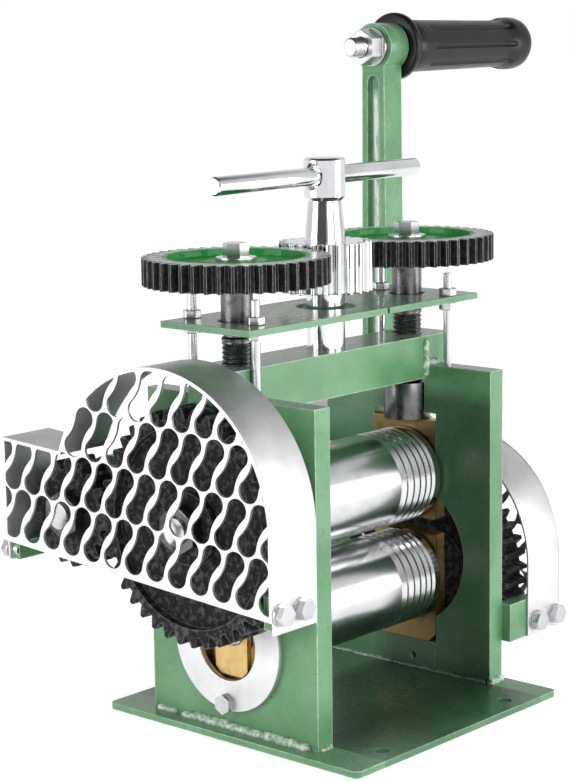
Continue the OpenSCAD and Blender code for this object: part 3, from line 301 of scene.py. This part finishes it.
def iron_nodes(tree, sh, rough):
    """Black cast iron: pitted, with painted glints, and edges pale from wear and painted highlight.
    Returns its colour.
    """
    at = coords(tree)
    grit = noise(tree, at, 650, 5, 0.75)
    cloud = noise(tree, at, 60, 4, 0.6)
    lumps = noise(tree, at, 330, 4, 0.65)
    roughness = spread(tree, lumps, 0.42, 0.62, rough + 0.30, rough - 0.14)
    tree.links.new(roughness, sh.inputs["Roughness"])
    low = bump(tree, lumps, 0.9, 0.0030)
    tree.links.new(bump(tree, grit, 0.9, 0.0014, low), sh.inputs["Normal"])
    sh.inputs["Specular IOR Level"].default_value = 0.30
    colour = ramp(tree, cloud, [(0.3, IRON), (0.7, IRON_LIFT)])
    # Painted glints: pale specks on the lumps stand in for light caught by the cast surface
    colour = mix(tree, spread(tree, lumps, 0.50, 0.64, 0.0, 0.9), colour, IRON_PAINTED_GLINT)
    # Pale edges: part wear, part painted highlight along the rims
    wear_and_highlight = product(tree, edges(tree, 0.0009), spread(tree, grit, 0.38, 0.60, 0.1, 0.9))
    return mix(tree, wear_and_highlight, colour, IRON_WEAR_AND_HIGHLIGHT)


def cast_iron(name):
    """The black iron of the drive gears."""
    mat, tree, sh = new_material(name)
    tree.links.new(iron_nodes(tree, sh, 0.48), sh.inputs["Base Color"])
    sh.inputs["Metallic"].default_value = 0.2
    return mat


def adjusting_gear():
    """Black teeth, a bare chipped rim on top and green enamel in the dished web and on the boss."""
    mat, tree, sh = new_material("painted_gear")
    at = coords(tree)
    split = add(tree, "ShaderNodeSeparateXYZ", {0: at})
    side = math_node(tree, "ABSOLUTE", split.outputs["X"])
    across = math_node(tree, "SUBTRACT", side, SCREW_X * MM)
    squares = [product(tree, v, v) for v in (across, split.outputs["Y"])]
    radius = math_node(tree, "SQRT", math_node(tree, "ADD", *squares))
    teeth = mix(tree, 0.8, iron_nodes(tree, sh, 0.42), (0.002, 0.002, 0.002))
    # Painted highlight: thin light lines along the tooth edges
    colour = mix(tree, edges(tree, 0.00035), teeth, GEAR_EDGE_HIGHLIGHT)
    chip = noise(tree, at, 240, 4, 0.7)
    rim = product(tree, spread(tree, split.outputs["Z"], *GEAR_TOP),
                  spread(tree, chip, 0.36, 0.46, 0.2, 0.9))
    colour = mix(tree, rim, colour, GEAR_RIM)
    web = spread(tree, radius, *GEAR_WEB)
    faded = ramp(tree, noise(tree, at, 70, 4, 0.6), [(0.45, 0.0), (0.8, 0.8)])
    colour = mix(tree, web, colour, mix(tree, faded, GEAR_GREEN, GEAR_GREEN_PALE))
    tree.links.new(colour, sh.inputs["Base Color"])
    sh.inputs["Metallic"].default_value = 0.1
    sh.inputs["Coat Weight"].default_value = 0.2
    return mat


def rubber():
    """The black grip, a little clouded and finely grained."""
    mat, tree, sh = new_material("rubber")
    at = coords(tree)
    cloud = noise(tree, at, 45, 4, 0.6)
    grain = noise(tree, at, 1400, 2, 0.5)
    colour = ramp(tree, cloud, [(0.3, RUBBER), (0.75, RUBBER_LIFT)])
    tree.links.new(colour, sh.inputs["Base Color"])
    tree.links.new(spread(tree, cloud, 0.3, 0.7, 0.26, 0.38), sh.inputs["Roughness"])
    sh.inputs["Specular IOR Level"].default_value = 0.28
    tree.links.new(bump(tree, grain, 0.12, 0.0001), sh.inputs["Normal"])
    return mat


MATERIALS = {
    "green_paint": green_paint("green_paint"),
    "stainless": metal("stainless", (0.72, 0.72, 0.725), 0.50, brush=(1, 1, 0.03), grain=0.05),
    "zinc": metal("zinc", (0.62, 0.62, 0.64), 0.24, grain=0.02),
    "bronze": metal("bronze", (0.66, 0.46, 0.19), 0.38, brush=(0.05, 1, 1), grain=0.08,
                    dirt=0.5, dirt_colour=(0.16, 0.09, 0.03), spots=90, shade=0.72),
    "dark_steel": metal("dark_steel", (0.16, 0.16, 0.165), 0.30, brush=(1, 1, 6), grain=0.10,
                        dirt=0.5, dirt_colour=(0.02, 0.02, 0.02), spots=120),
    "black_iron": cast_iron("black_iron"),
    "painted_gear": adjusting_gear(),
    "chrome": metal("chrome", (0.80, 0.81, 0.82), 0.09, grain=0.02),
    "polished_roll": metal("polished_roll", (0.74, 0.74, 0.75), 0.21, brush=(60, 1, 1),
                           grain=0.05),
    "shaft_steel": metal("shaft_steel", (0.62, 0.63, 0.64), 0.26, brush=(0.05, 1, 1),
                         grain=0.06, dirt=0.2),
    "rubber": rubber(),
}
WELD = green_paint("weld_paint", whiten=0.85)
ARM = green_paint("arm_paint", stripe=True)
for part in frame["record"]["subparts"]:
    node = frame["nodes"][part["node"]]
    finish = ARM if node.name == "crank_arm" else MATERIALS[part["material_slot"]]
    node.data.materials.clear()
    node.data.materials.append(finish)

# Rounded edges of the CAD nodes: the width of the bevel in metres, and the nodes

SOFT_EDGES = {
    0.0007: "base_plate left_side_plate right_side_plate cross_beam crank_arm "
            "left_guard_brackets right_guard_brackets",
    0.0004: "tee_bar top_plate left_gear_bolt right_gear_bolt guard_bolts ring_bolts rod_nuts "
            "grip_nut crank_nuts upper_gear_nut lower_gear_nut left_adjusting_gear "
            "right_adjusting_gear spindle_pinion screw_collars lower_left_bearing "
            "lower_right_bearing upper_left_bearing upper_right_bearing",
    0.0003: "left_guard_rim right_guard_rim retaining_ring",
}
WELD_GAP = 0.00001


def bevel_edges(obj, width, segments=2):
    """A bevel modifier on the edges sharper than 40 degrees."""
    bevel = obj.modifiers.new("bevel", "BEVEL")
    bevel.width = width
    bevel.segments = segments
    bevel.limit_method = "ANGLE"
    bevel.angle_limit = math.radians(40)


def round_edges(name, width):
    """A small bevel on a node's sharp edges; its own vertices stay as they are."""
    obj = frame["nodes"][name]
    weld = obj.modifiers.new("weld", "WELD")
    weld.merge_threshold = WELD_GAP
    bevel_edges(obj, width)


for width, names in SOFT_EDGES.items():
    for name in names.split():
        round_edges(name, width)

# Mesh helpers


def finished(name, mesh, material, body, smooth):
    """The object of a mesh, with its material, riding on its body."""
    mesh.materials.append(material)
    for poly in mesh.polygons:
        poly.use_smooth = True
    mesh.set_sharp_from_angle(angle=math.radians(smooth))
    obj = bpy.data.objects.new(name, mesh)
    SCENE.collection.objects.link(obj)
    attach(obj, body)
    return obj


def piece(name, verts, faces, material, body, smooth=35):
    """A closed mesh piece that rides on a body; faces that meet below smooth degrees are smooth."""
    mesh = bpy.data.meshes.new(name)
    mesh.from_pydata([tuple(v) for v in verts], [], faces)
    bm = bmesh.new()
    bm.from_mesh(mesh)
    bmesh.ops.recalc_face_normals(bm, faces=bm.faces)
    bm.to_mesh(mesh)
    bm.free()
    return finished(name, mesh, material, body, smooth)


def loft(rings):
    """Vertices and faces of a solid through closed rings, with a fan over each end."""
    count = len(rings[0])
    verts = [v for ring in rings for v in ring]
    faces = []
    for i in range(len(rings) - 1):
        a, b = i * count, (i + 1) * count
        for k in range(count):
            n = (k + 1) % count
            faces.append((a + k, a + n, b + n, b + k))
    for first, ring in ((0, rings[0]), ((len(rings) - 1) * count, rings[-1])):
        verts.append(sum(ring, Vector()) / count)
        for k in range(count):
            faces.append((first + k, first + (k + 1) % count, len(verts) - 1))
    return verts, faces


AXES = {"x": (Vector((1, 0, 0)), Vector((0, 1, 0)), Vector((0, 0, 1))),
        "z": (Vector((0, 0, 1)), Vector((1, 0, 0)), Vector((0, 1, 0)))}
RINGS_PER_TURN = 6


def circle(axis, centre, t, sides, radius_at):
    """A ring of points about an axis at the place t; radius_at gives the radius at an angle.

    The centre, t and the radius are in millimetres.
    """
    along, u, v = AXES[axis]
    base = Vector(centre) * MM
    ring = []
    for k in range(sides):
        angle = 2 * math.pi * k / sides
        out = (u * math.cos(angle) + v * math.sin(angle)) * (radius_at(angle) * MM)
        ring.append(base + along * (t * MM) + out)
    return ring


def thread_cut(thread, t, angle):
    """Depth of a thread at the place t along the axis and at an angle, in millimetres.

    The thread is (start, end, pitch, depth) and fades in and out over one turn.
    """
    start, end, pitch, depth = thread
    if not start < t < end:
        return 0.0
    turn = (t / pitch - angle / (2 * math.pi)) % 1.0
    fade = min(1.0, (t - start) / pitch, (end - t) / pitch)
    return depth * fade * abs(2 * turn - 1)


def stations(profile, steps_between):
    """The points of a profile, with as many steps put between each two as they need."""
    rows = []
    for (t0, r0), (t1, r1) in zip(profile, profile[1:]):
        steps = steps_between(t0, r0, t1, r1)
        rows += [(t0 + (t1 - t0) * k / steps, r0 + (r1 - r0) * k / steps) for k in range(steps)]
    return rows + [profile[-1]]


def turned(axis, centre, profile, thread, sides=32):
    """A turned piece with a thread cut in; profile points are (place, radius) in millimetres."""
    start, end, pitch, _ = thread

    def steps_between(t0, r0, t1, r1):
        threaded = r0 == r1 and t0 < end and t1 > start
        return max(1, round((t1 - t0) / pitch * RINGS_PER_TURN)) if threaded else 1

    return loft([circle(axis, centre, t, sides, lambda angle: r - thread_cut(thread, t, angle))
                 for t, r in stations(profile, steps_between)])


# Threaded pieces

SCREW_PROFILE = [(124.55, 8.6), (124.95, 9), (130.95, 9), (130.95, 7), (176, 7), (177, 6),
                 (180, 6), (181, 7), (199.4, 7), (199.4, 5.9), (208, 5.9)]
SCREW_THREAD = (134, 175.6, 2.0, 0.8)


def adjusting_screws():
    """Both adjusting screws, with their threads."""
    for side, x in (("left", -SCREW_X), ("right", SCREW_X)):
        verts, faces = turned("z", (x, 0, 0), SCREW_PROFILE, SCREW_THREAD)
        obj = piece(side + "_threaded_screw", verts, faces, MATERIALS["dark_steel"],
                    side + "_screw", 40)
        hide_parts(side + "_adjusting_screw")


SHAFT_Y = 72.4155
HEAD_Z = 296.5
BOLT_PROFILE = [(105, 4), (106, 5), (238.4, 5), (238.4, 7), (238.8, 7.4), (241.5, 7.4),
                (241.9, 7)]
BOLT_THREAD = (105.5, 122, 1.5, 0.55)


def grip_bolt():
    """The bolt of the grip, with its thread; its zinc is like that of the nut beside it."""
    verts, faces = turned("x", (0, SHAFT_Y, HEAD_Z), BOLT_PROFILE, BOLT_THREAD, 36)
    obj = piece("threaded_grip_bolt", verts, faces, MATERIALS["zinc"], "crank", 40)
    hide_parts("grip_bolt")


# The hand grip

GRIP_X = 138
GRIP_LEN = 109
GRIP_BORE = 8.2
GRIP_PROFILE = [(0, 15.4), (0.6, 16.7), (1.4, 17), (3.4, 17), (4.2, 16.6), (4.8, 14.9),
                (5.0, 13.1), (5.4, 12.4), (7.2, 12.3), (8.6, 12.5), (10.6, 13.1), (13.4, 13.3),
                (30, 13.15), (60, 12.75), (80, 12.5), (84, 12.5), (88, 12.7), (91.5, 13.3),
                (94.5, 13.85), (98, 14), (101.5, 13.9), (104.2, 13.3), (106.4, 12.0),
                (107.9, 10.0), (108.7, 7.2), (109, 3.6)]
GRIP_END_WALL = 6
FLUTES = 8
FLUTE_HALF_DEG = 6.2
FLUTE_DEPTH = 1.15
FLUTE_SPAN = (20.0, 92.0)
GRIP_SIDES = 144
GRIP_STEP = 0.9


def flute_cut(t, angle, radius):
    """Depth of the long grooves with round ends at a point of the grip, in millimetres."""
    pitch = 2 * math.pi / FLUTES
    off = abs((angle + pitch / 2) % pitch - pitch / 2) * radius
    half = math.radians(FLUTE_HALF_DEG) * radius
    over = max(FLUTE_SPAN[0] + half - t, t - FLUTE_SPAN[1] + half, 0.0)
    far = math.hypot(off, over) / half
    return FLUTE_DEPTH * (1 - far ** 4) if far < 1 else 0.0


def hand_grip():
    """The grip: its outside with the grooves, and the bore that its sleeve fills."""
    start = (GRIP_X, SHAFT_Y, HEAD_Z)
    rows = stations(GRIP_PROFILE, lambda t0, r0, t1, r1: max(1, round((t1 - t0) / GRIP_STEP)))
    rings = [circle("x", start, t, GRIP_SIDES, lambda angle: GRIP_BORE)
             for t in (GRIP_LEN - GRIP_END_WALL, 0.2)]
    rings += [circle("x", start, t, GRIP_SIDES, lambda angle: r - flute_cut(t, angle, r))
              for t, r in rows]
    verts, faces = loft(rings)
    obj = piece("fluted_grip", verts, faces, MATERIALS["rubber"], "grip", 45)
    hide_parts("hand_grip")


# The grilles of the guards, in millimetres but for ROLLED_EDGE

SHEET = 1.2
GRILLE_BORDER = 1.5
ROLLED_EDGE = 0.00042
CELL_PITCH, CELL_ROW = 12.9, 22.3
LOBE_R, LOBE_Y, LOBE_Z = 4.85, 3.14, 6.75
NECK_HALF = 3.6
CELL_WIDE = 1.10
CELL_SLOPE = math.radians(3.6)
LOWER_SLOPE = math.tan(CELL_SLOPE)
GUARD_REAR = 100
LEFT_X, LEFT_Y, LEFT_Z, LEFT_R = -107, 2.5, 104.8, 64
LEFT_LOW, LEFT_ROOF = 70.6, 126
RIGHT_X, RIGHT_Z, RIGHT_R = 105 - SHEET, 57, 56
RIGHT_STEP, RIGHT_ROOF, RIGHT_REAR_LOW, RIGHT_LOW = 22, 118, 62, 26
LEFT_CELLS = ((-0.6, 110.8), -1, ((-5, 8), (-5, 8), (-5, 5), (-4, 3)))
RIGHT_CELLS = ((-4, 81), -2, ((-5, 5), (-5, 5), (-5, 8), (-3, 8)))
SHAFT_HOLE = (SHAFT_Y, 94.5, 11.5)
WHOLE_TURN = (0, 352.5, 47)  # 48 points, without the first one again


def arc(y, z, r, start, end, count):
    """Points (y, z) on an arc between two angles in degrees."""
    angles = [math.radians(start + (end - start) * k / count) for k in range(count + 1)]
    return [(y + r * math.cos(a), z + r * math.sin(a)) for a in angles]


def left_outline(inset):
    """The left guard's outline, drawn in by inset: a half round front and a box behind it."""
    front, rear = LEFT_Y - LEFT_R + inset, GUARD_REAR - inset
    low = [(y, LEFT_LOW + inset + (y - LEFT_Y + LEFT_R) * LOWER_SLOPE) for y in (rear, front)]
    roof = [LEFT_ROOF - inset + (y - LEFT_R) * LOWER_SLOPE for y in (LEFT_Y + LEFT_R, rear)]
    meet = math.degrees(math.asin((roof[0] - LEFT_Z) / (LEFT_R - inset)))
    return arc(LEFT_Y, LEFT_Z, LEFT_R - inset, 180, meet, 96) + [(rear, roof[1])] + low


def right_outline(inset):
    """The right guard's outline, drawn in by inset: a round lower half and a box behind it."""
    r, step, rear = RIGHT_R - inset, RIGHT_STEP + inset, GUARD_REAR - inset
    roof, low = RIGHT_ROOF - inset, RIGHT_REAR_LOW + inset
    first = math.degrees(math.acos(step / r))
    second = math.degrees(math.asin((low - RIGHT_Z) / r))
    below = [(y, RIGHT_LOW + inset + (y + RIGHT_R) * LOWER_SLOPE) for y in (r, -r)]
    return (arc(0, RIGHT_Z, r, 180, first, 80) + [(step, roof), (rear, roof), (rear, low)]
            + arc(0, RIGHT_Z, r, second, 0, 4) + below)


def bean():
    """Outline of one cell: two wide lobes and a neck with hollow sides, leaning back."""
    span = math.hypot(LOBE_Y, LOBE_Z)
    waist = (span ** 2 + NECK_HALF ** 2 - LOBE_R ** 2) / (2 * (LOBE_R - NECK_HALF))
    side = waist + NECK_HALF
    bend = math.degrees(math.atan2(span, side))
    half = arc(0, span, LOBE_R, -bend, 180 + bend, 22) + arc(-side, 0, waist, bend, -bend, 6)[1:-1]
    lean = math.atan2(LOBE_Y, LOBE_Z)
    c, s = math.cos(lean), math.sin(lean)
    whole = half + [(-y, -z) for y, z in half]
    return [((y * c - z * s) * CELL_WIDE, y * s + z * c) for y, z in whole]


def cells(middle, first_row, spans):
    """Outlines of the cells about a middle; spans holds each row's first and last cell."""
    c, s = math.cos(CELL_SLOPE), math.sin(CELL_SLOPE)
    shape = bean()
    for j, (low, high) in enumerate(spans):
        for i in range(low, high + 1):
            at = [(y + i * CELL_PITCH, z + (j + first_row) * CELL_ROW) for y, z in shape]
            yield [(middle[0] + y * c - z * s, middle[1] + y * s + z * c) for y, z in at]


def grille_faces(outline, rows, hole):
    """Points and triangles of a flat grille: its outline less the cells inside its border.

    A hole (y, z, radius) is cut out too, with a border of its own.
    """
    loops = [outline(0), outline(GRILLE_BORDER)]
    if hole:
        y, z, r = hole
        loops += [arc(y, z, reach, *WHOLE_TURN) for reach in (r, r + GRILLE_BORDER)]
    first_cell = len(loops)
    loops += list(cells(*rows))
    flat, borders = [], []
    for loop in loops:
        turn = sum(a[0] * b[1] - a[1] * b[0] for a, b in zip(loop, loop[1:] + loop[:1]))
        borders.append(list(range(len(flat), len(flat) + len(loop))))
        flat += [Vector(p) for p in (loop if turn > 0 else loop[::-1])]
    points, _, tris, _, _, owners = delaunay_2d_cdt(flat, [], borders, 1, 0.0001)
    faces = []
    for tri, owner in zip(tris, owners):
        in_hole = hole and 2 in owner
        in_border = 1 not in owner or (hole and 3 in owner)
        in_cell = any(k >= first_cell for k in owner) and not in_border
        if 0 in owner and not in_cell and not in_hole:
            faces.append(tuple(tri))
    return points, faces


def grille(name, x, outline, rows, hole, node):
    """A perforated sheet from x to x + SHEET with rolled edges, in place of a guard face."""
    points, faces = grille_faces(outline, rows, hole)
    bm = bmesh.new()
    verts = [bm.verts.new((x * MM, p[0] * MM, p[1] * MM)) for p in points]
    for face in faces:
        bm.faces.new([verts[i] for i in face])
    bmesh.ops.delete(bm, geom=[v for v in bm.verts if not v.link_faces], context="VERTS")
    bmesh.ops.dissolve_limit(bm, angle_limit=0.01, verts=bm.verts, edges=bm.edges,
                             use_dissolve_boundaries=False)
    out = bmesh.ops.extrude_face_region(bm, geom=bm.faces[:])
    moved = [v for v in out["geom"] if isinstance(v, bmesh.types.BMVert)]
    bmesh.ops.translate(bm, verts=moved, vec=(SHEET * MM, 0, 0))
    bmesh.ops.recalc_face_normals(bm, faces=bm.faces)
    mesh = bpy.data.meshes.new(name)
    bm.to_mesh(mesh)
    bm.free()
    obj = finished(name, mesh, MATERIALS["stainless"], "frame", 35)
    bevel_edges(obj, ROLLED_EDGE, 3)
    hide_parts(node)


def grilles():
    """The perforated faces of both guards."""
    grille("left_grille", LEFT_X, left_outline, LEFT_CELLS, None, "left_guard_face")
    grille("right_grille", RIGHT_X, right_outline, RIGHT_CELLS, SHAFT_HOLE, "right_guard_face")


# Weld beads

RIPPLE_PITCH = 2.6
BEAD_STEP = 0.7
BEAD_SIDES = 12


def weld_bead(name, start, end, radius, broken, seed):
    """A lumpy bead from start to end, in millimetres, with ripples and a wandering line.

    broken, from 0 to 1, is how far the bead thins out in its gaps.
    """
    rng = random.Random(seed)
    a, b = Vector(start), Vector(end)
    length = (b - a).length
    along = (b - a).normalized()
    u = along.orthogonal().normalized()
    v = along.cross(u)
    shift = rng.uniform(0, 50)
    rings = []
    count = max(8, round(length / BEAD_STEP))
    for i in range(count + 1):
        s = length * i / count
        ripple = 0.84 + 0.16 * abs(math.sin(math.pi * s / RIPPLE_PITCH + shift))
        lump = 1 + 0.34 * field.noise(Vector((s * 0.16, shift, 0)))
        thin = 4 * field.noise(Vector((s * 0.12, shift, 9))) - 0.2
        gap = 1 - broken * max(0.0, min(1.0, thin))
        fade = math.sin(min(1.0, min(s, length - s) / (radius * 1.4) + 0.18) * math.pi / 2)
        wander = u * field.noise(Vector((s * 0.1, shift, 3))) * radius * 0.35
        r = radius * ripple * lump * fade * gap
        middle = a + along * s + wander
        ring = []
        for k in range(BEAD_SIDES):
            angle = 2 * math.pi * k / BEAD_SIDES
            c, sn = math.cos(angle), math.sin(angle)
            rough = 1 + 0.10 * field.noise(Vector((s * 0.7, c * 2, sn * 2)))
            ring.append((middle + (u * c + v * sn) * r * rough) * MM)
        rings.append(ring)
    verts, faces = loft(rings)
    piece(name, verts, faces, WELD, "frame", 60)


BASE_TOP = 3.0
PLATE_IN, PLATE_OUT = 56.5, 66.1
PLATE_FRONT = -50.2
BEAM_FRONT = -13.2
BEAM_EDGE = 13.3
BEAM_TOP = 151.2


def along_y(x, z, y0, y1):
    """Start and end of a bead that runs along a plate's foot."""
    return (x, y0, z), (x, y1, z)


def along_x(y, z, x0, x1):
    """Start and end of a bead that runs across a plate's thickness."""
    return (x0, y, z), (x1, y, z)


def along_z(x, y, z0, z1):
    """Start and end of a bead that runs up a corner."""
    return (x, y, z0), (x, y, z1)


# Each bead: its name, start and end, radius, and how broken it is
WELDS = [
    ("weld_left_outer", along_y(-PLATE_OUT - 0.6, BASE_TOP + 0.7, -46, 30), 2.5, 0.1),
    ("weld_left_outer_rear", along_y(-PLATE_OUT - 0.4, BASE_TOP + 0.4, 33, 46), 1.8, 0.3),
    ("weld_left_inner", along_y(-PLATE_IN + 0.3, BASE_TOP + 0.3, -47, 46), 1.4, 0.5),
    ("weld_right_inner", along_y(PLATE_IN - 0.3, BASE_TOP + 0.2, -48, 46), 1.2, 0.6),
    ("weld_right_outer", along_y(PLATE_OUT + 0.5, BASE_TOP + 0.5, -46, 46), 2.0, 0.2),
    ("weld_left_front",
     along_x(PLATE_FRONT, BASE_TOP + 0.3, -PLATE_OUT + 1, -PLATE_IN - 0.5), 1.3, 0.2),
    ("weld_right_front",
     along_x(PLATE_FRONT, BASE_TOP + 0.5, PLATE_IN - 1.5, PLATE_OUT + 1.5), 1.9, 0.1),
    ("weld_beam_left", along_z(-PLATE_IN + 0.3, BEAM_FRONT, 146, 151), 1.5, 0.0),
    ("weld_beam_right", along_z(PLATE_IN - 0.3, BEAM_FRONT, 145.5, 163), 1.7, 0.1),
    ("weld_beam_left_top", along_x(-BEAM_EDGE, BEAM_TOP, -PLATE_OUT + 1, -PLATE_IN - 1), 1.6, 0.0),
    ("weld_beam_right_top",
     along_x(-BEAM_EDGE, BEAM_TOP + 0.1, PLATE_IN + 0.5, PLATE_OUT - 0.5), 1.9, 0.0),
    ("weld_beam_left_rear", along_x(BEAM_EDGE, BEAM_TOP, -PLATE_OUT + 1, -PLATE_IN - 1), 1.6, 0.0),
    ("weld_beam_right_rear",
     along_x(BEAM_EDGE, BEAM_TOP + 0.1, PLATE_IN + 0.5, PLATE_OUT - 0.5), 1.8, 0.0),
]

adjusting_screws()
grip_bolt()
hand_grip()
grilles()
for seed, (name, ends, radius, broken) in enumerate(WELDS):
    weld_bead(name, *ends, radius, broken, seed)

# Camera and light

CAM_AT = (-0.7219, -0.6193, 0.3090)
AZ, EL, ROLL = (math.radians(a) for a in (-48.227, 9.786, -0.787))
LENS = 98.19
SKY = [(0.0, 0.80), (0.45, 0.84), (0.62, 0.70), (0.80, 0.13), (1.0, 0.09)]
DARK_SIDE = (-0.962, -0.272, 0.0)
FLOOR_SIZE = 30
FLOOR_DROP = 0.0005
FLOOR_GLOW = 0.62
AIM = (0, 0, 0.12)
SOFTBOX_POWER = 9
SOFTBOXES = {"front": ((0.75, -1.25, 0.30), (0.9, 0.6)),
             "key": ((-0.35, -1.35, 0.65), (0.8, 0.8)),
             "left": ((-1.30, 0.55, 0.35), (0.8, 0.6))}


def camera():
    """The photograph's camera, from azimuth, elevation and roll."""
    back = Vector((math.sin(AZ) * math.cos(EL), -math.cos(AZ) * math.cos(EL), math.sin(EL)))
    right = Vector((math.cos(AZ), math.sin(AZ), 0))
    up = back.cross(right)
    c, s = math.cos(ROLL), math.sin(ROLL)
    right, up = right * c + up * s, up * c - right * s
    data = bpy.data.cameras.new("camera")
    data.sensor_width = 36
    data.lens = LENS
    data.clip_start, data.clip_end = 0.05, 20
    cam = bpy.data.objects.new("camera", data)
    cam.matrix_world = Matrix((right, up, back)).transposed().to_4x4()
    cam.location = CAM_AT
    SCENE.collection.objects.link(cam)
    SCENE.camera = cam


def softbox(name, place, size):
    """A soft lamp that looks at the middle of the mill."""
    light = bpy.data.lights.new(name, "AREA")
    light.shape = "RECTANGLE"
    light.size, light.size_y = size
    light.energy = SOFTBOX_POWER
    obj = bpy.data.objects.new(name, light)
    obj.location = place
    obj.rotation_euler = (Vector(AIM) - Vector(place)).to_track_quat("-Z", "Y").to_euler()
    SCENE.collection.objects.link(obj)


def floor():
    """The pale studio floor, bright enough to run into the white background."""
    mesh = bpy.data.meshes.new("floor")
    bm = bmesh.new()
    bmesh.ops.create_grid(bm, x_segments=1, y_segments=1, size=FLOOR_SIZE)
    bm.to_mesh(mesh)
    bm.free()
    obj = bpy.data.objects.new("floor", mesh)
    obj.location.z = -FLOOR_DROP
    SCENE.collection.objects.link(obj)
    mat, tree, sh = new_material("floor_paper")
    grain = noise(tree, coords(tree), 3, 2, 0.5)
    tree.links.new(ramp(tree, grain, [(0.3, 0.90), (0.7, 0.93)]), sh.inputs["Base Color"])
    sh.inputs["Roughness"].default_value = 0.9
    sh.inputs["Emission Color"].default_value = (1, 1, 1, 1)
    sh.inputs["Emission Strength"].default_value = FLOOR_GLOW
    mesh.materials.append(mat)


def studio():
    """White walls with one dark sector, a dark ceiling, a white background, and the lamps."""
    world = bpy.data.worlds.new("studio")
    world.use_nodes = True
    tree = world.node_tree
    back = tree.nodes["Background"]
    tex = add(tree, "ShaderNodeTexCoord")
    split = add(tree, "ShaderNodeSeparateXYZ", {0: tex.outputs["Generated"]})
    sky = ramp(tree, split.outputs["Z"], SKY)
    toward = add(tree, "ShaderNodeVectorMath", {0: tex.outputs["Generated"], 1: DARK_SIDE},
                 operation="DOT_PRODUCT").outputs["Value"]
    sky = mix(tree, spread(tree, toward, 0.74, 0.86, 0.0, 0.90), sky, (0.02, 0.02, 0.02))
    seen = add(tree, "ShaderNodeLightPath").outputs["Is Camera Ray"]
    tree.links.new(mix(tree, seen, sky, (1.0, 1.0, 1.0)), back.inputs[0])
    back.inputs[1].default_value = 1.0
    SCENE.world = world
    for name, (place, size) in SOFTBOXES.items():
        softbox(name, place, size)


camera()
floor()
studio()
SCENE.view_settings.view_transform = "Standard"
